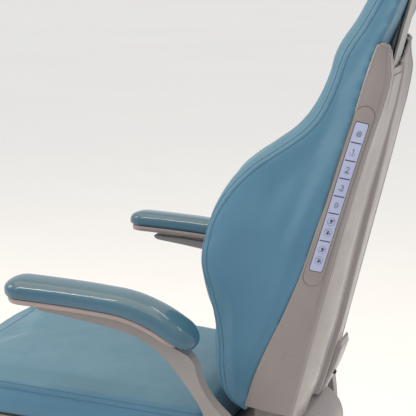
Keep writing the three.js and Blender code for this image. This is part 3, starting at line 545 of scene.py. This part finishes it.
def seam(name, obj, rows, body, radius=0.00045):
    """Sewn rows: a dark cord sunk along each row, painted shadow of the seam's groove, with separate stitches
    standing on it.
    """
    tree = surface_of(obj)
    parts = []
    for row in rows:
        row = on_surface(tree, row)
        # the cord, in the stitches' colour, is painted shadow of the seam's groove
        parts.append(tube(row, radius, 5))
        pts = np.array([tuple(p) for p in row])
        run = run_along(pts)
        at = 0.001
        while at + STITCH < run[-1]:
            ends = [Vector([np.interp(at + STITCH * k / 2, run, pts[:, c]) for c in range(3)])
                    for k in range(3)]
            bent = on_surface(tree, ends, radius * 0.9)
            parts.append(tube([bent[0], bent[1] + (bent[1] - ends[1]) * 0.3, bent[2]], radius * 0.75, 5))
            at += STITCH_STEP
    return make(name, *merge(parts), "thread", body, "upholstery", 180.0)


# -------- backrest cushion
def pad_ring(s, inset):
    """Outline of the back cushion at height s: flat rear, round front corners, domed front."""
    half = wing_half(s) - 2.0 - inset
    front = pad_front(s) + inset
    rear = wing_front(s) + 5.0
    depth = rear - front
    r = min(22.0, depth * 0.45)
    # the side bulges a little and widens at the rear, where it meets the shell
    side = []
    for k in range(9):
        u = k / 8.0
        t = rear - 2 + (front + r - rear + 2) * u
        side.append((half + 1.0 - 2.5 * math.cos(math.pi * (u - 0.55)) ** 2 + 4.5 * (1 - u) ** 2, t))
    corner = arc(half - r, front + r, r, 0, -90, 7)[1:]
    across = []
    for k in range(1, 9):
        x = (half - r) * (1 - k / 8.0)
        across.append((x, front + 5.0 * (1 - (x / (half - r)) ** 2) ** 2 * 0.6))
    right = [(half - 4, rear)] + side + corner + across
    return right + [(-x, t) for x, t in right[-2::-1]]


def build_back_cushion():
    low, high, steps = -26.0, 711.0, 96
    levels = [low + (high - low) * k / steps for k in range(steps + 1)]
    rings = []
    for s in levels:
        inset = round_end(min(s - low, high - s), PAD_END)
        rings.append([back_point(x, t, s) for x, t in pad_ring(s, 5.0 + inset)])
    pad = make("back_cushion_pad", *loft(rings), "upholstery", sharp=180.0)
    below, above = -60, 759
    reach = 8.0         # what lies further back than this in front of the wing's edge is held
    anchor = {s: back_point(0, wing_front(s) - reach, s).dot(REARWARDS) for s in range(below, above + 1)}
    up = Vector((0, math.sin(LEAN), math.cos(LEAN)))
    origin = back_point(0, 0, 0)

    def hold(p):
        v = Vector(p)
        s = round((v - origin).dot(up) / MM)
        return v.dot(REARWARDS) > anchor[max(below, min(above, s))]
    puff(pad, hold, cap=0.0065)

    def row(sign, back_off, start=-12, length=700.0, samples=150):
        path = []
        for k in range(samples + 1):
            s = start + length * k / samples
            # the row comes forward a little where the cushion bulges most
            forward = 6.0 * math.exp(-((s - 240) / 70.0) ** 2) * 0.8
            path.append(back_point(sign * wing_half(s), pad_front(s) + back_off - forward, s))
        return path
    tree = surface_of(pad)
    rows = side_rows(tree, row, BACK_ROWS)
    raise_along(pad, [rows[1][1], rows[-1][1]], WELT_WIDTH, WELT_HEIGHT)
    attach(pad, "back")
    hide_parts("back_cushion")
    for side, sign in SIDES:
        seam(f"back_seam_{side}", pad, [rows[sign][0], rows[sign][2]], "back")


# -------- seat cushion
LEG_DROP = math.radians(44.0)


def seat_path():
    """Points (forward, height, direction) along the top of the seat."""
    rear, knee, bend, top = 146.0, 650.0, 70.0, 4.0
    reach = bend * math.tan(LEG_DROP / 2)
    leg = 400.0 - reach
    flat_steps, bend_steps, leg_steps = 32, 12, 26
    out = []
    for k in range(flat_steps + 1):
        out.append((rear + (knee - reach - rear) * k / flat_steps, top, 0.0))
    for k in range(1, bend_steps + 1):
        a = LEG_DROP * k / bend_steps
        out.append((knee - reach + bend * math.sin(a), top - bend * (1 - math.cos(a)), a))
    start = out[-1]
    for k in range(1, leg_steps + 1):
        d = leg * k / leg_steps
        out.append((start[0] + d * math.cos(LEG_DROP), start[1] - d * math.sin(LEG_DROP), LEG_DROP))
    return out


def build_seat_cushion():
    path = seat_path()
    lengths = [0.0]
    for a, b in zip(path, path[1:]):
        lengths.append(lengths[-1] + math.hypot(b[0] - a[0], b[1] - a[1]))
    total = lengths[-1]
    rings = []
    half, deep = 233.0, 69.0

    def section(inset, squeeze):
        """Outline across the seat, from the pan up over the round edge to the slightly crowned top."""
        h = half - 5.0 - inset
        r = 20.0
        right = [(h - 6, -deep + squeeze)]
        for k in range(7):
            u = k / 6.0
            rise = (deep - squeeze - r - 6 - inset) * u
            right.append((h - 1.0 - 2.0 * (2 * u - 1) ** 2, -deep + squeeze + 4 + rise))
        right += [(x, z) for x, z in arc(h - r, -inset - r - 1, r, 0, 90, 6)[1:]]
        for k in range(1, 9):
            x = (h - r) * (1 - k / 8.0)
            right.append((x, -inset - 1 - 1.5 * (1 - x / (h - r)) ** 2))
        return right + [(-x, z) for x, z in right[-2::-1]]
    for (f, h, a), run in zip(path, lengths):
        inset = round_end(min(run, total - run), PAD_END)
        ring = []
        for x, z in section(inset, inset * 0.3):
            ring.append(seat_point(x, f + z * math.sin(a), h + z * math.cos(a)))
        rings.append(ring)
    pad = make("seat_cushion_pad", *loft(rings), "upholstery", sharp=180.0)

    under = []
    for f, h, a in path:
        under.append((seat_point(0, f - (deep - 9) * math.sin(a), h - (deep - 9) * math.cos(a)),
                      (seat_point(0, f, h) - seat_point(0, f - math.sin(a), h - math.cos(a))).normalized()))
    centres = np.array([tuple(u[0]) for u in under])

    def hold(p):
        q = np.array((0.0, p[1], p[2]))
        i = int(np.argmin(((centres - q) ** 2).sum(1)))
        return (Vector(q) - under[i][0]).dot(under[i][1]) < 0.0
    puff(pad, hold, cap=0.0065)

    def edge(sign, down):
        out = []
        for f, h, a in path[1:-1]:
            out.append(tuple(seat_point(sign * half, f - down * math.sin(a), h - down * math.cos(a))))
        return [Vector(p) for p in spline(out, 190)[0]]
    tree = surface_of(pad)
    rows = side_rows(tree, edge, SEAT_ROWS)
    # the crease lies where the seat has turned halfway down to the leg section
    f, h, _ = min(path, key=lambda place: abs(place[2] - LEG_DROP / 2))
    crease = on_surface(tree, [seat_point(-215 + 430 * k / 80, f, h) for k in range(81)])
    raise_along(pad, [rows[1][1], rows[-1][1]], WELT_WIDTH, WELT_HEIGHT)
    raise_along(pad, [crease], width=0.014, height=-0.003)
    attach(pad, "seat")
    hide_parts("seat_cushion")
    for side, sign in SIDES:
        seam(f"seat_seam_{side}", pad, [rows[sign][0], rows[sign][2]], "seat")
    seam("seat_knee_seam", pad, [crease], "seat")


# -------- headrest cushion
def build_headrest_cushion():
    rings = []
    half, steps = 127.0, 44
    for k in range(steps + 1):
        x = -half + 2 * half * k / steps
        inset = round_end(half - abs(x), 18.0)
        cup = 14.0 * (x / 128.0) ** 2
        rear, front = -91.0, -133.0 - cup + inset * 0.8
        low, high = 756.0 + inset, 904.0 - inset
        r = 17.0
        ring = [(rear, low + 4)] + arc(front + r, low + r, r, -90, -180, 6)
        for j in range(1, 8):
            u = j / 8.0
            ring.append((front - 4.0 * math.sin(math.pi * u), low + r + (high - low - 2 * r) * u))
        ring += arc(front + r, high - r, r, 180, 90, 6) + [(rear, high - 4)]
        ring += [(rear, high - 4 - (high - low - 8) * j / 5.0) for j in range(1, 5)]
        rings.append([back_point(x, t, s) for t, s in ring])
    pad = make("headrest_pad", *loft(rings), "upholstery", sharp=180.0)
    held_from, middle = -97.0, 830.0
    wall = back_point(0, held_from, middle).dot(REARWARDS)
    puff(pad, lambda p: Vector(p).dot(REARWARDS) > wall, cap=0.005, voxel=0.005)
    tree = surface_of(pad)
    loops = []
    for off in HEADREST_ROWS:
        loop = [back_point(x * 1.05, off, middle + s * 1.06) for x, s in rounded_loop(122.0, 70.0, 20.0, 200)]
        loops.append(on_surface(tree, loop))
    raise_along(pad, [loops[1]], WELT_WIDTH, 0.001)
    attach(pad, "headrest")
    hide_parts("headrest_cushion")
    seam("headrest_seam", pad, [loops[0], loops[2]], "headrest")


# -------- backrest shell
def shell_section(s):
    """Closed outline of the shell at height s: wing, bead, panel and channel outside, wall inside."""
    front = wing_front(s) + 0.4
    w, bead, rear, panel = wing_half(s), bead_half(s), bead_rear(s), panel_rear(s)
    floor = panel - channel_depth(s)
    wall = 3.0
    edge = 45.0                 # half width of the middle channel
    run = w - bead
    outer = [(w - 2.5, front), (w - 0.6, front + 0.7), (w, front + 2.5)]
    for k in range(1, 9):
        u = k / 9.0
        x = w - run * u
        t = front + (rear - front) * u
        outer.append((x + 1.8 * math.sin(math.pi * u), t + 0.6 * math.sin(math.pi * u)))
    # bead and the groove inside it
    outer += [(bead + 1.4, rear - 4.5), (bead + 0.6, rear - 1.6), (bead - 1.0, rear + 0.6),
              (bead - 3.8, rear + 2.0), (bead - 6.6, rear + 1.9), (bead - 8.8, rear + 0.6),
              (bead - 10.2, rear - 1.2), (bead - 11.2, rear - 2.4), (bead - 12.2, rear - 2.4),
              (bead - 13.4, rear - 1.2), (bead - 15.5, rear + 1.4), (bead - 20.0, rear + 2.6)]
    # rear panel, from the bead to the edge of the channel
    start = bead - 20.0
    for k in range(1, 8):
        u = k / 8.0
        x = start + (edge + 8 - start) * u
        outer.append((x, rear + 2.6 + (panel - rear - 2.6) * math.sin(math.pi / 2 * u)))
    outer += [(edge + 3, panel), (edge + 0.6, panel - 0.6), (edge - 1.2, panel - 2.2),
              (edge - 5, floor + 1.6), (edge - 6.6, floor + 0.3), (edge - 9, floor), (18, floor), (0, floor)]
    inner = [(0, floor - wall), (edge - 5, floor - wall), (edge + 3, panel - wall),
             (edge + 20, panel - wall - 0.5), (bead - 20, min(rear, panel) - wall - 0.4),
             (bead - 6, rear - wall - 3), (w - 5, front)]
    ring = outer + [(-x, t) for x, t in outer[-2::-1]]
    ring += [(-x, t) for x, t in inner[::-1]] + inner[1:]
    return ring


def shell_surface(x, s):
    """Point on the outside of the shell, slightly under the skin, at a place across and up."""
    ring = sorted(shell_section(s)[2:38])
    xs, ts = [p[0] for p in ring], [p[1] for p in ring]
    return back_point(x, float(np.interp(x, xs, ts)) - 2.0, s)


def prism(name, outline, near, far):
    """Cutter from front to rear through the shell: outline is (across, up the back)."""
    verts = [back_point(x, t, s) for t in (near, far) for x, s in outline]
    return make(name, verts, block_faces(len(outline)), "shell")


def weld_slivers(obj, dist=0.00004):
    """Weld the slivers that cutting leaves behind."""
    bm = bmesh.new()
    bm.from_mesh(obj.data)
    bmesh.ops.remove_doubles(bm, verts=bm.verts, dist=dist)
    bmesh.ops.dissolve_degenerate(bm, dist=dist, edges=bm.edges)
    bm.to_mesh(obj.data)
    bm.free()


def build_shell():
    steps = 94
    levels = [SHELL_LOW + (SHELL_HIGH - SHELL_LOW) * k / steps for k in range(steps + 1)]
    rings = [[back_point(x, t, s) for x, t in shell_section(s)] for s in levels]
    shell = make("back_shell_moulding", *loft(rings), "shell", sharp=45.0)
    # headrest notch: a smooth valley between the two wing tips, whose ends round over
    half, _ = spline([(30.5, 557), (34.5, 560.5), (42, 564.5), (57, 571.5), (72, 582), (85, 590), (95, 595.5),
                      (104, 598.5), (110.5, 598), (116, 594), (124, 582)], 44)
    half = [tuple(p) for p in half]
    top = [(150, 590), (150, 640)]
    notch = half + top + [(-x, s) for x, s in (half + top)[::-1]]
    # the lower corners are cut off below the wings
    corner = [(240, -8.5), (178, -9.5), (168, -13), (104, -42), (96, -46), (96, -70), (240, -70)]
    tools = [prism("notch_tool", notch, -120.0, 20.0), prism("corner_left", corner, -140.0, 20.0),
             prism("corner_right", [(-x, s) for x, s in corner[::-1]], -140.0, 20.0)]
    # the wing tips end in a round peak, seen from the side
    peak = [(-90, 586), (-66, 586), (-65, 590)] + arc(-53, 591.5, 11.0, 180, 90, 8) + [(-50, 640), (-90, 640)]
    verts = [back_point(x, t, s) for x in (-200.0, 200.0) for t, s in peak]
    tools.append(make("peak_tool", verts, block_faces(len(peak)), "shell"))
    for tool in tools:
        cut = shell.modifiers.new("cut", "BOOLEAN")
        cut.operation = "DIFFERENCE"
        cut.solver = "EXACT"
        cut.object = tool
    apply_modifiers(shell)
    weld_slivers(shell)
    bev = bevel(shell, 0.0011, 3, 62.0)
    bev.harden_normals = False
    apply_modifiers(shell)
    weld_slivers(shell)
    for tool in tools:
        bpy.data.objects.remove(tool)
    smooth(shell, 55.0)
    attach(shell, "back")
    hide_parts("back_shell")
    # rolled rim along the notch
    line = [shell_surface(x, s) for x, s in half if 33.0 < x < 111.0]
    rims = [tube(line, 0.0032, 12), tube([Vector((-p.x, p.y, p.z)) for p in line], 0.0032, 12)]
    make("back_shell_rim", *merge(rims), "shell", "back", "shell", 180.0)


# -------- touch panels
KEY_MIDDLE = 358.0          # middle of the panel, up the back
KEY_PLACES = [103.0, 75.0, 46.5, 18.0, -10.5, -37.5, -55.0, -84.5, -102.0]
PRINT_HEIGHT = 2.25         # height of the printing above the wing
# half length, half width, corner radius, and underside and top above the wing
GAP_SHADE_PLATE, FRAME_PLATE = (146.4, 16.8, 16.7, -0.8, 0.35), (145.0, 15.5, 15.4, -0.6, 1.3)
BORDER_PLATE, FILM_PLATE = (121.2, 11.2, 3.6, 0.9, 1.6), (120.0, 10.2, 3.0, 1.0, 2.1)


def on_wing(sign, a, b, s):
    """Place on the side wing: a towards the front, b outwards, s up the back."""
    front = np.array((wing_half(s), wing_front(s)))
    rear = np.array((bead_half(s), bead_rear(s)))
    along = (front - rear) / np.linalg.norm(front - rear)
    middle = (front + rear) / 2 + along
    # the wing bulges a little between its edges
    u = 0.5 - (a + 1.0) / np.linalg.norm(front - rear)
    swell = 1.95 * math.sin(math.pi * min(max(u, 0.0), 1.0))
    x = middle[0] + along[0] * a - along[1] * (b + swell)
    t = middle[1] + along[1] * a + along[0] * (b + swell)
    return back_point(sign * x, t, s)


def wing_plate(name, sign, sizes, key, slot, replaced=None, edge=0.0006):
    """Long plate with round corners on a side wing."""
    half_length, half_width, radius, inner, outer = sizes
    count = 60
    rings = []
    for k in range(count + 1):
        c = -math.cos(math.pi * k / count)
        d = c * half_length
        past = max(0.0, abs(d) - (half_length - radius))
        h = half_width - radius + math.sqrt(max(radius ** 2 - past ** 2, 0.3))
        s = KEY_MIDDLE + d
        ring = [on_wing(sign, -h + 2 * h * j / 6.0, outer, s) for j in range(7)]
        ring += [on_wing(sign, h - 2 * h * j / 6.0, inner, s) for j in range(7)]
        rings.append(ring)
    plate = make(name, *loft(rings), key, "back", slot)
    bevel(plate, edge, 2, 50.0)
    if replaced:
        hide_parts(replaced)
    return plate


def strokes(sign, lines, width, lift):
    """Flat printed lines: each is a list of (a, s) from the middle of the panel."""
    parts = []
    for line in lines:
        pts = [np.array(p, float) for p in line]
        for p, q in zip(pts, pts[1:]):
            d = q - p
            length = np.linalg.norm(d)
            if length < 1e-6:
                continue
            d = d / length
            n = np.array((-d[1], d[0])) * width / 2
            p0, q0 = p - d * width * 0.25, q + d * width * 0.25
            steps = max(1, int(length / 1.6))
            rings = []
            for k in range(steps + 1):
                c = p0 + (q0 - p0) * k / steps
                rings.append([on_wing(sign, *((c + n * e)[0], lift + h), KEY_MIDDLE + (c + n * e)[1])
                              for e, h in ((-1, -0.25), (1, -0.25), (1, 0.06), (-1, 0.06))])
            parts.append(loft(rings))
    return parts


def key_symbols(sign):
    """Printed symbols of one panel: the pale grey ones and the dark ones."""
    facing = -sign              # +1 where the front of the chair is on the reader's left
    grey, dark = [], []

    def glyph(shapes, centre, store, width):
        """Upright symbol round centre; its x is turned so that it reads right on either side."""
        placed = [[(facing * x, centre + y) for x, y in shape] for shape in shapes]
        store.extend(strokes(sign, placed, width, PRINT_HEIGHT))
    gear = [oval(0, 0, 3.2, 3.6), oval(0, 0, 1.3, 1.5)]
    gear += [[(3.4 * math.cos(a), 3.8 * math.sin(a)), (4.8 * math.cos(a), 5.2 * math.sin(a))]
             for a in [math.radians(45 * k) for k in range(8)]]
    glyph(gear, KEY_PLACES[0], grey, 0.8)
    one = [[(-1.5, 2.4), (0.3, 4.0), (0.3, -4.0)]]
    two = [oval(0, 2.0, 2.3, 2.0, 8, 170, -30) + [(-2.3, -4.0), (2.5, -4.0)]]
    three = [oval(0, 2.0, 2.1, 2.0, 8, 150, -90), oval(0, -2.0, 2.4, 2.0, 8, 90, -150)]
    for centre, digit in zip(KEY_PLACES[1:4], (one, two, three)):
        glyph(digit, centre, grey, 1.0)
        glyph([oval(0, 0, 5.2, 6.0, 16, 200, 320)], centre, grey, 0.45)
    glyph([oval(0, 0, 2.6, 4.0, 14), [(-1.1, 0), (1.1, 0)]], KEY_PLACES[4], grey, 0.9)
    # four moves: back up, back down, seat up, seat down
    for centre, up in zip(KEY_PLACES[5:], (1, -1, 1, -1)):
        chair = [[(4.6, 4.5 * up), (1.5, -2.5 * up), (-4.6, -2.5 * up)]]
        glyph(chair, centre, grey, 0.7)
        arrow = [[(0, -1.8 * up), (0, 3.0 * up)], [(-1.8, 1.0 * up), (0, 3.2 * up), (1.8, 1.0 * up)]]
        glyph(arrow, centre, dark, 1.5)
        glyph([oval(0, 0, 6.2, 6.4, 20)], centre, grey, 0.35)
    # divisions; the up and down keys of a move share a field
    for k in (0, 1, 2, 3, 4, 6):
        y = (KEY_PLACES[k] + KEY_PLACES[k + 1]) / 2
        dark.extend(strokes(sign, [[(-8.2, y), (8.2, y)]], 1.6, PRINT_HEIGHT))
    return grey, dark


def build_panels():
    for side, sign in SIDES:
        # dark ring just outside the keypad frame: painted shade of the gap between frame and wing
        wing_plate(f"keypad_gap_shade_{side}", sign, GAP_SHADE_PLATE, "shell_shadow", "shell")
        wing_plate(f"keypad_frame_{side}", sign, FRAME_PLATE, "shell", "shell", f"keypad_bezel_{side}")
        wing_plate(f"keypad_border_{side}", sign, BORDER_PLATE, "dark_ink", "membrane", edge=0.0002)
        wing_plate(f"keypad_film_{side}", sign, FILM_PLATE, "membrane", "membrane",
                   f"keypad_membrane_{side}", 0.0004)
        grey, dark = key_symbols(sign)
        make(f"keypad_symbols_{side}", *merge(grey), "ink", "back", "membrane", 20.0)
        make(f"keypad_marks_{side}", *merge(dark), "dark_ink", "back", "membrane", 20.0)


# -------- arms
ARM_LINE, ARM_LENGTH = spline([(-205, 625), (-160, 623.5), (-100, 620.5), (-45, 616.5), (5, 610.5), (50, 595),
                               (84, 575.5), (112, 556)], 241)
ARM_STEPS = len(ARM_LINE) - 1
ARM_X = 280.0               # middle of an arm pad from the middle of the chair
PAD_HALF, TRAY_HALF = 34.0, 31.0
CANT = math.radians(5.6)    # outer edge down


def arm_ring(run, outline, x):
    """Outline (across, up) set square to the line of the arm at run, 0 to 1."""
    i = run * ARM_STEPS
    k = min(int(i), ARM_STEPS - 1)
    u = i - k
    at = ARM_LINE[k] * (1 - u) + ARM_LINE[k + 1] * u
    a, b = ARM_LINE[max(k - 3, 0)], ARM_LINE[min(k + 4, ARM_STEPS)]
    along = (b - a) / np.linalg.norm(b - a)
    c, d = math.cos(CANT), math.copysign(math.sin(CANT), x)
    ring = []
    for p, q in outline:
        rise = q * c - p * d
        ring.append(Vector((x + p * c + q * d, at[0] - rise * along[1], at[1] + rise * along[0])) * MM)
    return ring


def round_scale(share):
    """Quarter circle from 0 to 1."""
    return math.sqrt(max(1 - (1 - share) ** 2, 0.0))


def arm_body(x, section, first, last, end_round):
    """Form along the arm between two shares of its length, with domed ends."""
    begin, end = first * ARM_LENGTH, last * ARM_LENGTH
    end_steps, middle_steps = 14, 40
    shares = [1 - math.cos(math.pi / 2 * k / end_steps) for k in range(1, end_steps + 1)]
    stops = [(begin + share * end_round, round_scale(share)) for share in shares]
    for k in range(1, middle_steps):
        stops.append((begin + end_round + (end - begin - 2 * end_round) * k / middle_steps, 1.0))
    stops += [(end - share * end_round, round_scale(share)) for share in shares[::-1]]
    return loft([arm_ring(d / ARM_LENGTH, section(scale), x) for d, scale in stops])


def cap_section(scale):
    """Soft D shape: flat underside, tucked lip, crowned top."""
    w = PAD_HALF * (0.05 + 0.95 * scale)
    low = 6.0 * (1 - scale)
    high = 10.0 + 19.0 * scale
    tall = high - low
    tuck = 3.5 * scale
    pts = [(w - tuck, low + 0.6 * scale), (w - 0.35 * tuck, low + 0.05 * tall),
           (w - 0.06 * tuck, low + 0.14 * tall), (w, low + 0.26 * tall),
           (w - 0.06 * tuck, low + 0.38 * tall)]
    for k in range(1, 12):
        a = math.radians(90.0 * k / 12)
        pts.append((w * 0.995 * math.cos(a) ** 0.78, low + 0.38 * tall + 0.62 * tall * math.sin(a) ** 0.88))
    return pts + [(0.0, high)] + [(-p, q) for p, q in pts[::-1]]


def tray_section(scale):
    """Shallow tray under the pad."""
    w = TRAY_HALF * (0.15 + 0.85 * scale)
    pts = [(w - 9, -11), (w - 4.5, -10.4), (w - 1.5, -8.2), (w - 0.2, -5.0), (w, -2.2), (w - 0.8, -0.7),
           (w - 2.5, -0.4)]
    return pts + [(-p, q) for p, q in pts[::-1]]


def build_arms():
    for side, sign in SIDES:
        body = f"arm_{side}"
        x = sign * ARM_X
        pad = arm_body(x, cap_section, first=0.0, last=1.0, end_round=34.0)
        cap = make(f"arm_pad_{side}", *pad, "arm_pad", body, "arm_pad", 60.0)
        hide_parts(f"arm_cap_{side}")
        dish = arm_body(x, tray_section, first=0.02, last=0.935, end_round=28.0)
        tray = make(f"arm_tray_moulding_{side}", *dish, "tray", body, "shell", 50.0)
        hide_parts(f"arm_tray_{side}")


# -------- hip housing
def sideways(outline, x0, x1):
    """Block across the chair: outline is (y, z)."""
    verts = [Vector((x, y, z)) * MM for x in (x0, x1) for y, z in outline]
    return verts, block_faces(len(outline))


def build_hip_housing():
    """Bent band with a cheek at each end, on two feet."""
    hip = (208.0, 333.0)
    band = arc(*hip, 58.0, -35, 150, 60) + arc(*hip, 54.0, 150, -35, 60)
    cheek = arc(*hip, 57.0, -35, 150, 60) + arc(*hip, 18.6, 150, -35, 30)
    foot = [(246.0, 256.5), (256.0, 256.5), (256.0, 310.0), (252.0, 313.0), (246.0, 313.0)]
    parts = [sideways(band, -116, 116)]
    for x0, x1 in ((-116, -112), (112, 116)):
        parts.append(sideways(cheek, x0, x1))
    for x0, x1 in ((-84, -60), (60, 84)):
        parts.append(sideways(foot, x0, x1))
    cover = make("hip_cover", *merge(parts), "shell", "carrier", "shell", 40.0)
    bevel(cover, 0.0016, 3, 60.0)
    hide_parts("hip_housing")


# -------- small fasteners
SMALL_SCREW = 0.0045
# screw head as shares of its (radius, height)
HEAD_PROFILE = ((0.98, 0.0), (1.0, 0.25), (0.96, 0.6), (0.82, 0.88), (0.62, 1.0))
SOCKET, SOCKET_FLOOR = 0.55, 0.35


def screw(name, place, axis, radius, height, body, slot="chrome", key="dark_screw"):
    """Button-head screw with a hexagonal socket."""
    axis = Vector(axis).normalized()
    side = axis.orthogonal().normalized()
    other = axis.cross(side)
    place = Vector(place)
    turns = [2 * math.pi * k / 24 for k in range(24)]

    def ring(h, shares):
        return [place + axis * height * h + (side * math.cos(t) + other * math.sin(t)) * radius * r
                for t, r in zip(turns, shares)]
    hexagon = [SOCKET * math.cos(math.pi / 6) / math.cos((t % (math.pi / 3)) - math.pi / 6) for t in turns]
    rings = [ring(h, [r] * len(turns)) for r, h in HEAD_PROFILE]
    rings += [ring(h, hexagon) for h in (1.0, SOCKET_FLOOR)]
    return make(name, *loft(rings), key, body, slot, 30.0)


def build_fasteners():
    base_top = 0.0222
    for k, (x, y) in enumerate(((0.215, -0.33), (-0.215, -0.33), (0.215, 0.26), (-0.215, 0.26))):
        screw(f"levelling_screw_{k + 1}", (x, y, base_top), (0, 0, 1), 0.011, 0.006, "base", "chrome",
              "steel")
    # outlet cover screw, standing out of the rear face low on the right
    normal = back_point(0, 1, 0) - back_point(0, 0, 0)
    screw("outlet_cover_screw", back_point(-100, panel_rear(-14) + 5.6, -14), normal, SMALL_SCREW, 0.004,
          "back")
    for side, sign in SIDES:
        # hub cap screw
        low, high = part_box(f"arm_hub_cap_{side}")
        face = high.x if sign > 0 else low.x
        middle = (low + high) / 2
        screw(f"hub_cap_screw_{side}", (face, middle.y, middle.z), (sign, 0, 0), 0.006, 0.003, f"arm_{side}")
        # skirt screws
        low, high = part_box(f"seat_side_skirt_{side}")
        face = high.x if sign > 0 else low.x
        for k, y in enumerate((-0.25, 0.0)):
            screw(f"skirt_screw_{side}_{k + 1}", (face, y, 0.365 - 0.06 * y), (sign, 0, 0), SMALL_SCREW,
                  0.002, "seat")
        # shroud screws
        low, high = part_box("base_shroud")
        face = high.x if sign > 0 else low.x
        for k, y in enumerate((-0.2, 0.0, 0.2)):
            screw(f"shroud_screw_{side}_{k + 1}", (face, y, low.z + 0.014), (sign, 0, 0), SMALL_SCREW,
                  0.002, "turntable")
    # headrest plate screws, on its rear face
    for k, (x, s) in enumerate(((-88, 780), (88, 780), (-88, 884), (88, 884))):
        screw(f"headrest_plate_screw_{k + 1}", back_point(x, -82.0, s), normal, SMALL_SCREW, 0.0022,
              "headrest")


# -------- carried-over nodes
def dress_nodes():
    """Materials and rounded edges on the CAD nodes."""
    # node: (material, width and segments of the rounding)
    plain_edge = (0.0008, 2)
    special = {
        "arm_post_left": ("post", 0.0035, 3), "arm_post_right": ("post", 0.0035, 3),
        "arm_hub_cap_left": ("shell", 0.003, 3), "arm_hub_cap_right": ("shell", 0.003, 3),
        "channel_trim": ("shell", 0.0006, 2), "outlet_cover": ("shell", 0.0016, 3),
        "base_shroud": ("shell", 0.0018, 3), "seat_pan": ("shell", 0.002, 2),
        "headrest_glide_bar": ("glide", 0.0008, 2), "headrest_plate": ("shell", 0.0012, 2),
        "base_plate": ("painted_steel", 0.003, 3), "base_rubber_trim": ("rubber", 0.003, 3),
        "toe_cover": ("clear_sheet", 0.0004, 1), "headrest_release_lever": ("dark_screw", 0.0015, 3),
    }
    slots = {entry["node"]: entry["material_slot"] for entry in frame["record"]["subparts"]}
    for name, obj in frame["nodes"].items():
        key, width, segments = special.get(name, (slots[name], *plain_edge))
        obj.data.materials.clear()
        obj.data.materials.append(MAT[key])
        obj.data.polygons.foreach_set("material_index", [0] * len(obj.data.polygons))
        smooth(obj)
        bevel(obj, width, segments, SHARP)


# -------- stage
def build_stage():
    reach = 40.0
    floor = make("floor", [(-reach, -reach, 0), (reach, -reach, 0), (reach, reach, 0), (-reach, reach, 0)],
                 [(0, 1, 2, 3)], "shell")
    pale = surface("pale_floor", (0.84, 0.88, 0.95, 1), (0.86, 0.9, 0.96, 1), (0.6, 0.7), patch=0.5,
                   grain=40.0, depth=0.00001)
    floor.data.materials[0] = pale
    floor.location.z = -0.0006

    def area(name, place, target, size, power, colour):
        data = bpy.data.lights.new(name, "AREA")
        data.shape = "RECTANGLE"
        data.size, data.size_y = size
        data.energy = power
        data.color = colour
        light = bpy.data.objects.new(name, data)
        light.location = place
        light.rotation_euler = (Vector(target) - Vector(place)).to_track_quat("-Z", "Y").to_euler()
        bpy.context.scene.collection.objects.link(light)
    area("ceiling", (0.2, -0.5, 3.3), (0.1, 0.0, 0.5), size=(3.0, 3.0), power=44, colour=(1.0, 0.75, 0.44))
    area("front_key", (0.6, -3.2, 2.4), (0.1, 0.0, 0.8), size=(1.2, 1.4), power=27, colour=(1.0, 0.86, 0.68))
    area("tube_near", (1.25, -0.9, 2.3), (0.28, -0.05, 0.6), size=(0.07, 1.9), power=12,
         colour=(1.0, 0.96, 0.88))
    area("tube_far", (-0.6, 0.9, 2.6), (0.0, 0.3, 0.8), size=(1.8, 0.1), power=4, colour=(1.0, 0.96, 0.9))
    world = bpy.data.worlds.new("studio")
    world.use_nodes = True
    tree = world.node_tree
    coord = tree.nodes.new("ShaderNodeTexCoord")
    split = tree.nodes.new("ShaderNodeSeparateXYZ")
    link(tree, coord.outputs["Generated"], split.inputs["Vector"])
    sky = ramp(tree, split.outputs["Z"], (0.8, 0.83, 0.92, 1.0), (1.0, 0.93, 0.81, 1.0), 0.0, 0.8)
    back = tree.nodes["Background"]
    link(tree, sky, back.inputs["Color"])
    put(back, {"Strength": 0.95})
    bpy.context.scene.world = world
    bpy.context.scene.view_settings.view_transform = "Standard"


dress_nodes()
build_shell()
build_panels()
build_arms()
build_hip_housing()
build_fasteners()
build_headrest_cushion()
build_seat_cushion()
build_back_cushion()
build_stage()
